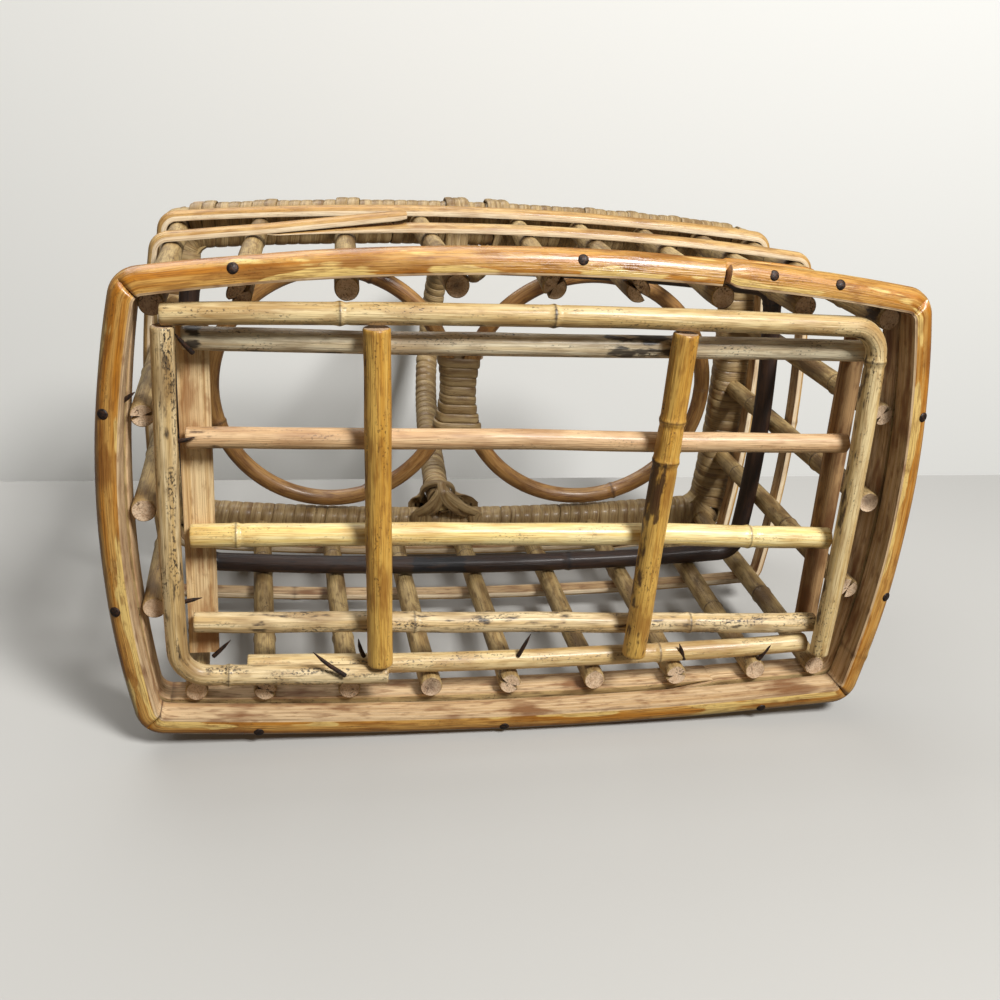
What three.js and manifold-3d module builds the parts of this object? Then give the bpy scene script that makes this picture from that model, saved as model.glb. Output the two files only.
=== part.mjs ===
// Rattan carrier basket for two wine bottles, in millimetres, +Z up, standing on z = 0.
// The wall is a ring of upright canes between hoops. Above it, two rings hold the bottle shoulders.
import * as THREE from 'three';
import { mergeVertices } from 'three/addons/utils/BufferGeometryUtils.js';
import Module from 'manifold-3d';

// Plan of the wall: a rectangle with bowed sides, measured over the foot hoop
const wallLength = 245.2;
const wallDepth = 152;
const wallBows = { back: 9, right: 8, front: 4.5, left: 8 };

// Gap between pieces that touch
const fit = 0.3;

// Foot hoop: a split pole with its flat face inwards
const footHeight = 10;
const footThickness = 7;
const footCorner = 9;
const footInnerCorner = 3;

// Second split pole, set in on top of the foot hoop
const baseBandHeight = 10;
const baseBandInset = 3.1;
const baseBandCorner = 8;

// Upright canes: how far the plan of their centres is set back from the wall's, at the foot and the rim
const uprightDiameter = 7;
const uprightFootSetbacks = { back: 11.6, right: 12, front: 13.2, left: 12 };
const uprightFootBows = { back: 7, right: 5, front: 2.4, left: 5 };
const uprightRimSetbacks = { back: 13.8, right: 9, front: 11.7, left: 11 };
const uprightRimBows = { back: 5, right: 3.5, front: 5, left: 3.5 };
// Where they stand along each side, from corner to corner, against the clock seen from above
const uprightFootShares = {
  back: [0, 0.1075, 0.242, 0.384, 0.513, 0.628, 0.748, 0.87, 1],
  right: [0.254, 0.501, 0.757],
  front: [0.015, 0.114, 0.244, 0.375, 0.507, 0.627, 0.748, 0.869, 0.965],
  left: [0.24, 0.5, 0.737],
};
const uprightRimShares = {
  back: [0, 0.136, 0.277, 0.4, 0.575, 0.682, 0.8, 0.907, 1],
  right: [0.25, 0.5, 0.76],
  front: [0.015, 0.11, 0.24, 0.373, 0.506, 0.629, 0.75, 0.875, 0.98],
  left: [0.25, 0.505, 0.76],
};
const knuckleHeight = 0.35;
const knuckleLength = 3;
const knuckleShares = [0.34, 0.72, 0.27, 0.66, 0.38];

// Pole frame under the base, along the poles' centre lines, and the pole across its open front
const frameSetbacks = { back: 19, right: 20.4, front: 20.4, left: 19.1 };
const frameBows = { back: 1.5, right: 1, front: 2.6, left: 0.8 };
const framePoleDiameter = 6.2;
const framePoleLift = 1.8;
const frameCorner = 9;
const frontLapLength = 62;
const frontPoleRightSetback = 3;
const frontPoleLeftSetback = 20;

// Slats along the base, laid on the frame
const slatDiameters = [6.4, 6.2, 7, 6.4];
const slatLeftSetback = 5;
const slatRightSetback = 1.4;
const slatLeftShares = [0.083, 0.336, 0.604, 0.852];
const slatRightShares = [0.09, 0.352, 0.642, 0.912];

// Sticks across the slats, on the floor side
const crossStickDiameter = 8.3;
const crossStickBackShares = { left: 0.276, right: 0.704 };
const crossStickFrontShares = { left: 0.292, right: 0.683 };
const crossStickSetback = 4;

// Split laths across the slats, on the bottle side
const lathWidths = { left: 9, right: 7.6 };
const lathThickness = 3.6;
const lathSideSetbacks = { left: 7.4, right: 1.8 };
const lathEndSetback = 4;

// Hoop and band half way up the wall
const middleHeight = 84.5;
const middleHoopDiameter = 6.6;
const middleHoopCorner = 11;
const middleBandHeight = 7;
const middleBandThickness = 3;

// Rim: split poles inside and outside the uprights, bound together
const rimBottom = 132.4;
const rimPoleHeight = 8.8;
const rimInnerPoleThickness = 3.2;
const rimInnerPoleCorner = 12;
const rimOuterPoleThickness = 2.7;
const bindingThickness = 0.9;
const bindingRounding = 2.4;
// Bare strip under the outer side of the rim
const rimStripHeight = 7.2;
const rimStripThickness = 3.5;

// Rings for the bottles, side by side. They meet a little to the left and lie nearer to the front
const ringCaneDiameter = 6.4;
const ringMeetX = -2.3;
const ringEndClearance = 0.9;
const ringBackClearance = 5.8;

// Winding of peel that holds the two rings together
const ringLashingTurns = 8;
const ringLashingPitch = 3.9;
const ringLashingWidth = 3.2;
const ringLashingShift = 1.2;
const ringLashingSquareness = 4;
const peelThickness = 1;

// Handle: a bent pole with a skin of wound peel
const handleHeight = 270;
const handlePoleDiameter = 8.4;
const handleFootDrop = 1.6;
const handleSpringRise = 8;
const handlePoleShow = 1.2;
const handleShift = -3.4;
const handleTurnDegrees = 5.4;
const handleLean = 6;
const handleFullness = 2.5;
const handleLeanPower = 0.6;

// Winding that crosses over the inside of each handle leg and goes round the rim beside it
const crossLashingWidth = 3.2;
const crossLashingCorner = 3.4;
const crossLashingLift = 1.6;
const crossLashingBulgePower = 0.7;

// Facet counts
const poleSides = 10;
const hoopSides = 8;
const cornerSteps = 4;
const poleSteps = 8;
const ringSteps = 40;
const handleSteps = 30;
const loopSteps = 24;
const sideSteps = { back: 8, right: 4, front: 8, left: 4 };

// Colours, roughness
const straw = [0xd9b878, 0.5];
const honey = [0xc98f45, 0.4];
const orangeSkin = [0xc8832f, 0.35];
const tan = [0xb08a58, 0.6];
const darkBrown = [0x3a2620, 0.45];
const peel = [0xa89064, 0.55];

const wasm = await Module();
wasm.setup();

const basket = new THREE.Group();

function addPiece(name, geometry, [color, roughness]) {
  const material = new THREE.MeshStandardMaterial({ color, roughness, metalness: 0 });
  const piece = new THREE.Mesh(geometry, material);
  piece.name = name;
  basket.add(piece);
  return piece;
}

// The way each side of a plan faces, in order against the clock seen from above
const facings = {
  back: new THREE.Vector2(0, -1),
  right: new THREE.Vector2(1, 0),
  front: new THREE.Vector2(0, 1),
  left: new THREE.Vector2(-1, 0),
};
const sideNames = Object.keys(facings);
const sideBefore = { back: 'left', right: 'back', front: 'right', left: 'front' };
const sideAfter = { back: 'right', right: 'front', front: 'left', left: 'back' };

function bowRadius(halfChord, bow) {
  return (halfChord ** 2 + bow ** 2) / (2 * bow);
}

function angleFrom(centre, point) {
  return Math.atan2(point.y - centre.y, point.x - centre.x);
}

function onCircle(centre, radius, angle) {
  return new THREE.Vector2(centre.x + radius * Math.cos(angle), centre.y + radius * Math.sin(angle));
}

function anglesAt(from, to, shares) {
  const turn = THREE.MathUtils.euclideanModulo(to - from + Math.PI, 2 * Math.PI) - Math.PI;
  return shares.map((share) => from + turn * share);
}

function evenShares(steps) {
  return Array.from({ length: steps + 1 }, (_, i) => i / steps);
}

// A rectangle with bowed sides, each an arc of a circle, passed against the clock seen from above
class Plan {
  constructor(reaches, bows) {
    this.reaches = reaches;
    this.bows = bows;
    const chord = (name) => facings[name].clone().multiplyScalar(reaches[name] - bows[name]);
    this.sides = {};
    for (const name of sideNames) {
      const [before, after] = [chord(sideBefore[name]), chord(sideAfter[name])];
      const radius = bowRadius(before.distanceTo(after) / 2, bows[name]);
      const centre = before.add(after).divideScalar(2).addScaledVector(facings[name], reaches[name] - radius);
      this.sides[name] = { centre, radius };
    }
  }

  // Plan part of the way to another
  towards(other, share) {
    const between = (from, to) => Object.fromEntries(sideNames.map((name) => [
      name,
      THREE.MathUtils.lerp(from[name], to[name], share),
    ]));
    return new Plan(between(this.reaches, other.reaches), between(this.bows, other.bows));
  }

  // Corner after a side, of the outline drawn in by the inset
  corner(name, inset) {
    const first = this.sides[name];
    const second = this.sides[sideAfter[name]];
    const a = first.radius - inset;
    const b = second.radius - inset;
    const between = second.centre.clone().sub(first.centre);
    const apart = between.length();
    const along = (apart ** 2 + a ** 2 - b ** 2) / (2 * apart);
    const aside = Math.sqrt(a ** 2 - along ** 2);
    const direction = between.divideScalar(apart);
    const outwards = facings[name].clone().add(facings[sideAfter[name]]);
    const candidates = [1, -1].map((turn) => new THREE.Vector2(
      first.centre.x + direction.x * along - turn * direction.y * aside,
      first.centre.y + direction.y * along + turn * direction.x * aside,
    ));
    return candidates.sort((p, q) => q.dot(outwards) - p.dot(outwards))[0];
  }

  // Points of one side, between the rounded corners
  side(name, inset, cornerRadius, shares = evenShares(sideSteps[name])) {
    const { centre, radius } = this.sides[name];
    const before = this.corner(sideBefore[name], inset + cornerRadius);
    const after = this.corner(name, inset + cornerRadius);
    const angles = anglesAt(angleFrom(centre, before), angleFrom(centre, after), shares);
    return angles.map((angle) => onCircle(centre, radius - inset, angle));
  }

  // Points of the rounded corner after a side, without its ends
  roundedCorner(name, inset, cornerRadius) {
    const centre = this.corner(name, inset + cornerRadius);
    const next = this.sides[sideAfter[name]];
    const from = angleFrom(this.sides[name].centre, centre);
    const angles = anglesAt(from, angleFrom(next.centre, centre), evenShares(cornerSteps)).slice(1, -1);
    return angles.map((angle) => onCircle(centre, cornerRadius, angle));
  }

  // The whole outline, drawn in by the inset, with its corners rounded
  outline(inset, cornerRadius) {
    return sideNames.flatMap((name) => [
      ...this.side(name, inset, cornerRadius),
      ...this.roundedCorner(name, inset, cornerRadius),
    ]);
  }

  // Distance of a long side from the middle of the basket, at a place along it
  reach(name, inset, x) {
    const { centre, radius } = this.sides[name];
    return centre.dot(facings[name]) + Math.sqrt((radius - inset) ** 2 - (x - centre.x) ** 2);
  }
}

const wallReaches = { back: wallDepth / 2, right: wallLength / 2, front: wallDepth / 2, left: wallLength / 2 };
const wall = new Plan(wallReaches, wallBows);

// Plan set back from the wall's, by its own distance on each side
function setBack(setbacks, bows) {
  const reaches = sideNames.map((name) => [name, wallReaches[name] - setbacks[name]]);
  return new Plan(Object.fromEntries(reaches), bows);
}

const uprightRadius = uprightDiameter / 2;
const frameRadius = framePoleDiameter / 2;
const frameTop = framePoleLift + framePoleDiameter;
const slatRest = frameTop + fit;
const uprightFoot = frameTop + fit;
const rimPoleBottom = rimBottom + bindingThickness + fit;
const rimMiddle = rimPoleBottom + rimPoleHeight / 2;
const uprightFootPlan = setBack(uprightFootSetbacks, uprightFootBows);
const rimPlan = setBack(uprightRimSetbacks, uprightRimBows);

// Plan of the uprights' centres at a height
function planAt(height) {
  return uprightFootPlan.towards(rimPlan, (height - uprightFoot) / (rimMiddle - uprightFoot));
}

// Closed surface through rings of points, as a tube with ends or as a loop
function surfaceThrough(rings, closed) {
  const sidesOfRing = rings[0].length;
  const positions = rings.flat().flatMap((point) => point.toArray());
  const index = [];
  const last = closed ? rings.length : rings.length - 1;
  for (let i = 0; i < last; i += 1) {
    const here = i * sidesOfRing;
    const there = ((i + 1) % rings.length) * sidesOfRing;
    for (let j = 0; j < sidesOfRing; j += 1) {
      const k = (j + 1) % sidesOfRing;
      index.push(here + j, there + j, there + k, here + j, there + k, here + k);
    }
  }
  if (!closed) {
    const end = (rings.length - 1) * sidesOfRing;
    for (let j = 1; j < sidesOfRing - 1; j += 1) {
      index.push(0, j, j + 1, end, end + j + 1, end + j);
    }
  }
  const geometry = new THREE.BufferGeometry();
  geometry.setAttribute('position', new THREE.Float32BufferAttribute(positions, 3));
  geometry.setIndex(facingOut(positions, index));
  geometry.computeVertexNormals();
  return geometry;
}

// The triangles, turned round if they enclose a negative volume
function facingOut(positions, index) {
  const [a, b, c] = [new THREE.Vector3(), new THREE.Vector3(), new THREE.Vector3()];
  let volume = 0;
  for (let i = 0; i < index.length; i += 3) {
    a.fromArray(positions, index[i] * 3);
    b.fromArray(positions, index[i + 1] * 3);
    c.fromArray(positions, index[i + 2] * 3);
    volume += a.dot(b.cross(c));
  }
  return volume < 0 ? index.reverse() : index;
}

// Sections: pairs of a share across the thickness, from inside to outside, and a height
function roundSection(bottom, height, count = hoopSides) {
  return Array.from({ length: count }, (_, i) => {
    const angle = (2 * Math.PI * (i + 0.5)) / count;
    return [0.5 + Math.cos(angle) / 2, bottom + (height * (1 + Math.sin(angle))) / 2];
  });
}

// Split pole: flat inside and underneath, round outside
const splitCurveShares = [[0, 0], [0.7, 0], [0.94, 0.16], [1, 0.45], [0.9, 0.78], [0.55, 0.96], [0, 1]];

function splitSection(bottom, height) {
  return splitCurveShares.map(([across, up]) => [across, bottom + height * up]);
}

// Loft between an inner and an outer outline
function loft(inner, outer, section, closed = true) {
  const rings = outer.map((out, i) => section.map(([share, height]) => {
    const point = inner[i].clone().lerp(out, share);
    return new THREE.Vector3(point.x, point.y, height);
  }));
  return surfaceThrough(rings, closed);
}

// A hoop in a plan, given by the insets of its faces and the corner radius of its inner face
function hoop(plan, outerInset, thickness, innerCorner, section) {
  const inner = plan.outline(outerInset + thickness, innerCorner);
  const outer = plan.outline(outerInset, innerCorner + thickness);
  return loft(inner, outer, section);
}

// Straight cane along +Z, with a raised ring where a leaf grew
function cane(length, diameter, knuckleShare) {
  const radius = diameter / 2;
  const knuckle = length * knuckleShare;
  const profile = [
    [0, 0],
    [radius, 0],
    [radius, knuckle - knuckleLength / 2],
    [radius + knuckleHeight, knuckle],
    [radius, knuckle + knuckleLength / 2],
    [radius, length],
    [0, length],
  ];
  const points = profile.map(([x, y]) => new THREE.Vector2(x, y));
  return new THREE.LatheGeometry(points, poleSides).rotateX(Math.PI / 2);
}

function placeAlong(piece, from, to) {
  const direction = to.clone().sub(from).normalize();
  piece.position.copy(from);
  piece.quaternion.setFromUnitVectors(new THREE.Vector3(0, 0, 1), direction);
}

function addCane(name, from, to, diameter, knuckleShare, finish) {
  const piece = addPiece(name, cane(from.distanceTo(to), diameter, knuckleShare), finish);
  placeAlong(piece, from, to);
  return piece;
}

// Distance from the uprights' centres to the pieces outside and inside them
const outsideUprights = uprightRadius + fit;

function addFoot() {
  const inner = wall.outline(footThickness, footInnerCorner);
  const outer = wall.outline(0, footCorner);
  addPiece('foot_hoop', loft(inner, outer, splitSection(0, footHeight)), orangeSkin);
  const bandBottom = footHeight + fit;
  const bandInner = planAt(bandBottom + baseBandHeight).outline(-outsideUprights, outsideUprights);
  const bandOuter = wall.outline(baseBandInset, baseBandCorner);
  addPiece('base_band', loft(bandInner, bandOuter, splitSection(bandBottom, baseBandHeight)), tan);
}

const uprightTop = rimPoleBottom + rimPoleHeight - fit;

// Centre lines of the uprights by side, with the corner canes in the long sides
const uprightLines = {};
for (const name of sideNames) {
  const feet = uprightFootPlan.side(name, 0, 0, uprightFootShares[name]);
  const tops = planAt(uprightTop).side(name, 0, 0, uprightRimShares[name]);
  uprightLines[name] = feet.map((foot, i) => new THREE.Line3(
    new THREE.Vector3(foot.x, foot.y, uprightFoot),
    new THREE.Vector3(tops[i].x, tops[i].y, uprightTop),
  ));
}

function uprightAt(line, height) {
  return line.at((height - uprightFoot) / (uprightTop - uprightFoot), new THREE.Vector3());
}

function addUprights() {
  let count = 0;
  for (const name of sideNames) {
    uprightLines[name].forEach(({ start, end }, i) => {
      const share = knuckleShares[count % knuckleShares.length];
      addCane(`upright_${name}_${i + 1}`, start, end, uprightDiameter, share, tan);
      count += 1;
    });
  }
}

// Round pole that follows a list of plan points at one height
function planPole(points, diameter, height) {
  const radius = diameter / 2;
  const section = roundSection(height - radius, diameter);
  const outwards = points.map((point, i) => {
    const before = points[Math.max(i - 1, 0)];
    const after = points[Math.min(i + 1, points.length - 1)];
    const along = after.clone().sub(before).normalize();
    return new THREE.Vector2(along.y, -along.x).multiplyScalar(radius);
  });
  const outer = points.map((point, i) => point.clone().add(outwards[i]));
  const inner = points.map((point, i) => point.clone().sub(outwards[i]));
  return loft(inner, outer, section, false);
}

const frameHeight = framePoleLift + frameRadius;
const frame = setBack(frameSetbacks, frameBows);

function frameSideLength(name) {
  const [first, last] = frame.side(name, 0, 0, [0, 1]);
  return first.distanceTo(last);
}

// Stretch of one side of the frame, from one distance before its end to another
function frameStretch(name, startSetback, endSetback) {
  const straight = frameSideLength(name) - 2 * frameCorner;
  const from = (startSetback - frameCorner) / straight;
  const to = 1 - (endSetback - frameCorner) / straight;
  const shares = evenShares(poleSteps).map((share) => THREE.MathUtils.lerp(from, to, share));
  return frame.side(name, 0, frameCorner, shares);
}

function addFrame() {
  const backAndRight = [
    ...frameStretch('back', 0, frameCorner),
    ...frame.roundedCorner('back', 0, frameCorner),
    ...frameStretch('right', frameCorner, 0),
  ];
  addPiece('base_pole_back_right', planPole(backAndRight, framePoleDiameter, frameHeight), straw);

  const lapAndLeft = [
    ...frameStretch('front', frameSideLength('front') - frontLapLength, frameCorner),
    ...frame.roundedCorner('front', 0, frameCorner),
    ...frameStretch('left', frameCorner, frameRadius + fit * 2),
  ];
  addPiece('base_pole_left', planPole(lapAndLeft, framePoleDiameter, frameHeight), straw);

  const frontPole = frameStretch('front', frontPoleRightSetback, frontPoleLeftSetback);
  addPiece('base_pole_front', planPole(frontPole, framePoleDiameter, slatRest + frameRadius), straw);
}

function frameX(share) {
  return THREE.MathUtils.lerp(-frame.reaches.left, frame.reaches.right, share);
}

function frameY(share) {
  return THREE.MathUtils.lerp(-frame.reaches.back, frame.reaches.front, share);
}

const thickestSlat = Math.max(...slatDiameters);

function addSlats() {
  slatDiameters.forEach((diameter, i) => {
    const z = slatRest + diameter / 2;
    const leftEnd = slatLeftSetback - frame.reaches.left;
    const rightEnd = frame.reaches.right - slatRightSetback;
    const from = new THREE.Vector3(leftEnd, frameY(slatLeftShares[i]), z);
    const to = new THREE.Vector3(rightEnd, frameY(slatRightShares[i]), z);
    addCane(`base_slat_${i + 1}`, from, to, diameter, knuckleShares[i], straw);
  });
}

function addCrossSticks() {
  const z = frameTop - crossStickDiameter / 2;
  ['left', 'right'].forEach((side, i) => {
    const backX = frameX(crossStickBackShares[side]);
    const frontX = frameX(crossStickFrontShares[side]);
    const start = new THREE.Vector3(backX, -frame.reach('back', frameRadius + fit * 2, backX), z);
    const end = new THREE.Vector3(frontX, frame.reach('front', crossStickSetback, frontX), z);
    addCane(`cross_stick_${side}`, start, end, crossStickDiameter, knuckleShares[i], honey);
  });
}

function addLaths() {
  const bottom = slatRest + thickestSlat + fit;
  const from = lathEndSetback - frame.reaches.back;
  const to = frame.reaches.front - lathEndSetback;
  for (const side of ['left', 'right']) {
    const x = facings[side].x * (frame.reaches[side] - lathSideSetbacks[side]);
    const edges = [x - lathWidths[side] / 2, x + lathWidths[side] / 2];
    const [inner, outer] = edges.map((edge) => [new THREE.Vector2(edge, from), new THREE.Vector2(edge, to)]);
    addPiece(`base_lath_${side}`, loft(inner, outer, lathSection(bottom), false), straw);
  }
}

// Lath: flat against the slats, with its rounded skin up
const lathCurveShares = [[0, 0], [1, 0], [0.96, 0.45], [0.75, 0.85], [0.5, 1], [0.25, 0.85], [0.04, 0.45]];

function lathSection(bottom) {
  return lathCurveShares.map(([across, up]) => [across, bottom + lathThickness * up]);
}

function addMiddleHoops() {
  const plan = planAt(middleHeight);
  const hoopCorner = middleHoopCorner - middleHoopDiameter;
  const hoopSection = roundSection(middleHeight - middleHoopDiameter / 2, middleHoopDiameter);
  const innerHoop = hoop(plan, outsideUprights, middleHoopDiameter, hoopCorner, hoopSection);
  addPiece('middle_hoop', innerHoop, darkBrown);
  const bandSection = splitSection(middleHeight - middleBandHeight / 2, middleBandHeight);
  const bandInset = -outsideUprights - middleBandThickness;
  addPiece('middle_band', hoop(plan, bandInset, middleBandThickness, outsideUprights, bandSection), honey);
}

const outerPoleInset = -outsideUprights - rimOuterPoleThickness;
const innerPoleInset = outsideUprights;
const innerPoleInnerInset = innerPoleInset + rimInnerPoleThickness;
const innerPoleInnerCorner = rimInnerPoleCorner - rimInnerPoleThickness;
const outerPoleCorner = outsideUprights + rimOuterPoleThickness;
const bindingInnerInset = innerPoleInnerInset + fit + bindingThickness;
const bindingOuterInset = outerPoleInset - fit - bindingThickness;
const rimTop = rimPoleBottom + rimPoleHeight + fit + bindingThickness;

function addRimPoles() {
  const section = roundSection(rimPoleBottom, rimPoleHeight);
  const innerPole = hoop(rimPlan, innerPoleInset, rimInnerPoleThickness, innerPoleInnerCorner, section);
  addPiece('rim_inner_pole', innerPole, tan);
  const outerPole = hoop(rimPlan, outerPoleInset, rimOuterPoleThickness, outsideUprights, section);
  addPiece('rim_outer_pole', outerPole, tan);
  const stripBottom = rimBottom - peelThickness - fit * 3 - rimStripHeight;
  const stripSection = splitSection(stripBottom, rimStripHeight);
  const stripInset = -outsideUprights - rimStripThickness;
  const stripPlan = planAt(stripBottom + rimStripHeight / 2);
  addPiece('rim_strip', hoop(stripPlan, stripInset, rimStripThickness, outsideUprights, stripSection), straw);
}

// Section of the binding: a box with cut corners between two insets
function boundSection(bottom, top, width, rounding) {
  const edge = rounding / width;
  return [
    [edge, bottom],
    [1 - edge, bottom],
    [1, bottom + rounding],
    [1, top - rounding],
    [1 - edge, top],
    [edge, top],
    [0, top - rounding],
    [0, bottom + rounding],
  ];
}

function solidOf(geometry) {
  const bare = geometry.clone();
  bare.deleteAttribute('normal');
  bare.deleteAttribute('uv');
  const merged = mergeVertices(bare);
  return new wasm.Manifold(new wasm.Mesh({
    numProp: 3,
    vertProperties: new Float32Array(merged.attributes.position.array),
    triVerts: new Uint32Array(merged.index.array),
  }));
}

function geometryOf(solid) {
  const mesh = solid.getMesh();
  const geometry = new THREE.BufferGeometry();
  geometry.setAttribute('position', new THREE.BufferAttribute(mesh.vertProperties, 3));
  geometry.setIndex(new THREE.BufferAttribute(mesh.triVerts, 1));
  return geometry;
}

// Body of the binding, grown or shrunk by a distance from the faces of the rim poles
function rimSleeve(growth) {
  const innerInset = innerPoleInnerInset + growth;
  const outerInset = outerPoleInset - growth;
  const inner = rimPlan.outline(innerInset, innerPoleInnerCorner - growth);
  const outer = rimPlan.outline(outerInset, outerPoleCorner + growth);
  const bottom = rimPoleBottom - growth;
  const top = rimPoleBottom + rimPoleHeight + growth;
  const rounding = bindingRounding - bindingThickness - fit + growth;
  return loft(inner, outer, boundSection(bottom, top, innerInset - outerInset, rounding));
}

function addRimBinding() {
  let binding = solidOf(rimSleeve(fit + bindingThickness)).subtract(solidOf(rimSleeve(fit)));
  const holeRadius = uprightRadius + fit;
  const hole = new THREE.CylinderGeometry(holeRadius, holeRadius, bindingThickness * 3, poleSides);
  hole.rotateX(Math.PI / 2);
  for (const line of Object.values(uprightLines).flat()) {
    const { x, y, z } = uprightAt(line, rimBottom);
    const direction = line.delta(new THREE.Vector3()).normalize();
    const turn = new THREE.Quaternion().setFromUnitVectors(new THREE.Vector3(0, 0, 1), direction);
    binding = binding.subtract(solidOf(hole.clone().applyQuaternion(turn).translate(x, y, z)));
  }
  addPiece('rim_binding', geometryOf(binding), peel);
}

const caneRadius = ringCaneDiameter / 2;

// Middle of a ring and the half axes of its centre line, from where the rings meet to its end of the rim
function ringShape(side) {
  const meeting = ringMeetX + (facings[side].x * fit) / 2;
  const end = facings[side].x * (rimPlan.reaches[side] - bindingInnerInset - ringEndClearance);
  const x = (meeting + end) / 2;
  const frontY = rimPlan.reach('front', bindingInnerInset, x) - ringEndClearance;
  const backY = ringBackClearance - rimPlan.reach('back', bindingInnerInset, x);
  return {
    x,
    y: (frontY + backY) / 2,
    width: Math.abs(end - meeting) / 2 - caneRadius,
    depth: (frontY - backY) / 2 - caneRadius,
  };
}

const rings = { left: ringShape('left'), right: ringShape('right') };

function addRings() {
  const section = roundSection(rimMiddle - caneRadius, ringCaneDiameter);
  for (const [side, { x, y, width, depth }] of Object.entries(rings)) {
    const points = evenShares(ringSteps).slice(0, -1).map((share) => {
      const angle = 2 * Math.PI * share;
      const outwards = new THREE.Vector2(Math.cos(angle) / width, Math.sin(angle) / depth).setLength(caneRadius);
      const centre = new THREE.Vector2(width * Math.cos(angle), depth * Math.sin(angle));
      return { inner: centre.clone().sub(outwards), outer: centre.clone().add(outwards) };
    });
    const ring = loft(points.map(({ inner }) => inner), points.map(({ outer }) => outer), section);
    addPiece(`bottle_ring_${side}`, ring, honey).position.set(x, y, 0);
  }
}

// Flat strip swept along a route, its flat side facing outwards
function stripAlong(route, outwards, width) {
  const halfWidth = width / 2;
  const halfThickness = peelThickness / 2;
  const edgeShare = 0.72;
  const section = [
    [-halfWidth, 0],
    [-halfWidth * edgeShare, -halfThickness],
    [halfWidth * edgeShare, -halfThickness],
    [halfWidth, 0],
    [halfWidth * edgeShare, halfThickness],
    [-halfWidth * edgeShare, halfThickness],
  ];
  const rings = route.map((point, i) => {
    const before = route[Math.max(i - 1, 0)];
    const after = route[Math.min(i + 1, route.length - 1)];
    const along = after.clone().sub(before).normalize();
    const across = along.clone().cross(outwards[i]).normalize();
    const up = across.clone().cross(along);
    return section.map(([a, b]) => point.clone().addScaledVector(across, a).addScaledVector(up, b));
  });
  return surfaceThrough(rings, false);
}

// Least distance between points of a route that are more than half a turn apart, less the strip
function reportLeastGap(name, route, size) {
  const halfTurn = loopSteps / 2;
  let least = Infinity;
  route.forEach((point, i) => {
    for (let j = i + halfTurn; j < route.length; j += 1) {
      least = Math.min(least, point.distanceTo(route[j]));
    }
  });
  console.log(`${name}: least gap to itself ${(least - size).toFixed(2)} mm`);
}

function signedPower(value, power) {
  return Math.sign(value) * Math.abs(value) ** power;
}

// Racetrack turns round the two rings, wider where the rings curve apart
function addRingLashing() {
  const route = [];
  const outwards = [];
  const middleY = (rings.left.y + rings.right.y) / 2 + ringLashingShift;
  const reach = caneRadius + fit + peelThickness / 2;
  for (let i = 0; i <= ringLashingTurns * loopSteps; i += 1) {
    const angle = (2 * Math.PI * i) / loopSteps;
    const across = Math.cos(angle);
    const ring = across < 0 ? rings.left : rings.right;
    const y = middleY + ringLashingPitch * (i / loopSteps - ringLashingTurns / 2);
    const offCentre = (Math.abs(y - ring.y) + ringLashingWidth / 2) / ring.depth;
    const spread = ring.width * (1 - Math.sqrt(1 - offCentre ** 2));
    const straight = Math.sign(across) * Math.min(1, Math.abs(across) * ringLashingSquareness);
    const x = ringMeetX + straight * (fit / 2 + caneRadius + spread) + reach * across;
    route.push(new THREE.Vector3(x, y, rimMiddle + reach * Math.sin(angle)));
    outwards.push(new THREE.Vector3(across, 0, Math.sin(angle)));
  }
  reportLeastGap('ring_lashing', route, ringLashingWidth);
  addPiece('ring_lashing', stripAlong(route, outwards, ringLashingWidth), peel);
}

// Handle: straight legs inside the rim under a full arch, in the plane x = 0 before it is turned
const handlePoleRadius = handlePoleDiameter / 2;
const handleTurn = THREE.MathUtils.degToRad(handleTurnDegrees);
const handleRadius = handlePoleRadius + fit + bindingThickness;
const legFoot = rimBottom - handleFootDrop;
const springHeight = rimTop + handleSpringRise;
const archRise = handleHeight - handleRadius - springHeight;

function legReach(name) {
  return rimPlan.reach(name, bindingInnerInset, handleShift) - fit * 2 - handleRadius;
}

const handleY = (legReach('front') - legReach('back')) / 2;
const legY = (legReach('front') + legReach('back')) / 2;

class HandleCurve extends THREE.Curve {
  constructor(foot) {
    super();
    this.foot = foot;
  }

  getPoint(t, target = new THREE.Vector3()) {
    const legShare = (springHeight - this.foot) / (2 * (springHeight - this.foot) + Math.PI * archRise);
    if (t < legShare) return target.set(0, legY, THREE.MathUtils.lerp(this.foot, springHeight, t / legShare));
    if (t > 1 - legShare) {
      return target.set(0, -legY, THREE.MathUtils.lerp(this.foot, springHeight, (1 - t) / legShare));
    }
    const angle = (Math.PI * (t - legShare)) / (1 - 2 * legShare);
    const power = 2 / handleFullness;
    const y = legY * signedPower(Math.cos(angle), power);
    const z = springHeight + archRise * signedPower(Math.sin(angle), power);
    return target.set(handleLean * signedPower(Math.sin(angle), handleLeanPower), y, z);
  }
}

function circlePath(PathType, radius) {
  return new PathType().absarc(0, 0, radius, 0, 2 * Math.PI, false);
}

function addHandle() {
  const options = { steps: handleSteps, curveSegments: poleSides / 2, bevelEnabled: false };
  const pole = new THREE.ExtrudeGeometry(circlePath(THREE.Shape, handlePoleRadius), {
    ...options,
    extrudePath: new HandleCurve(legFoot),
  });
  const tube = circlePath(THREE.Shape, handleRadius);
  tube.holes.push(circlePath(THREE.Path, handlePoleRadius + fit));
  const binding = new THREE.ExtrudeGeometry(tube, {
    ...options,
    extrudePath: new HandleCurve(legFoot + handlePoleShow),
  });
  for (const piece of [addPiece('handle_pole', pole, tan), addPiece('handle_binding', binding, peel)]) {
    piece.rotation.z = handleTurn;
    piece.position.set(handleShift, handleY, 0);
  }
}

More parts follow.
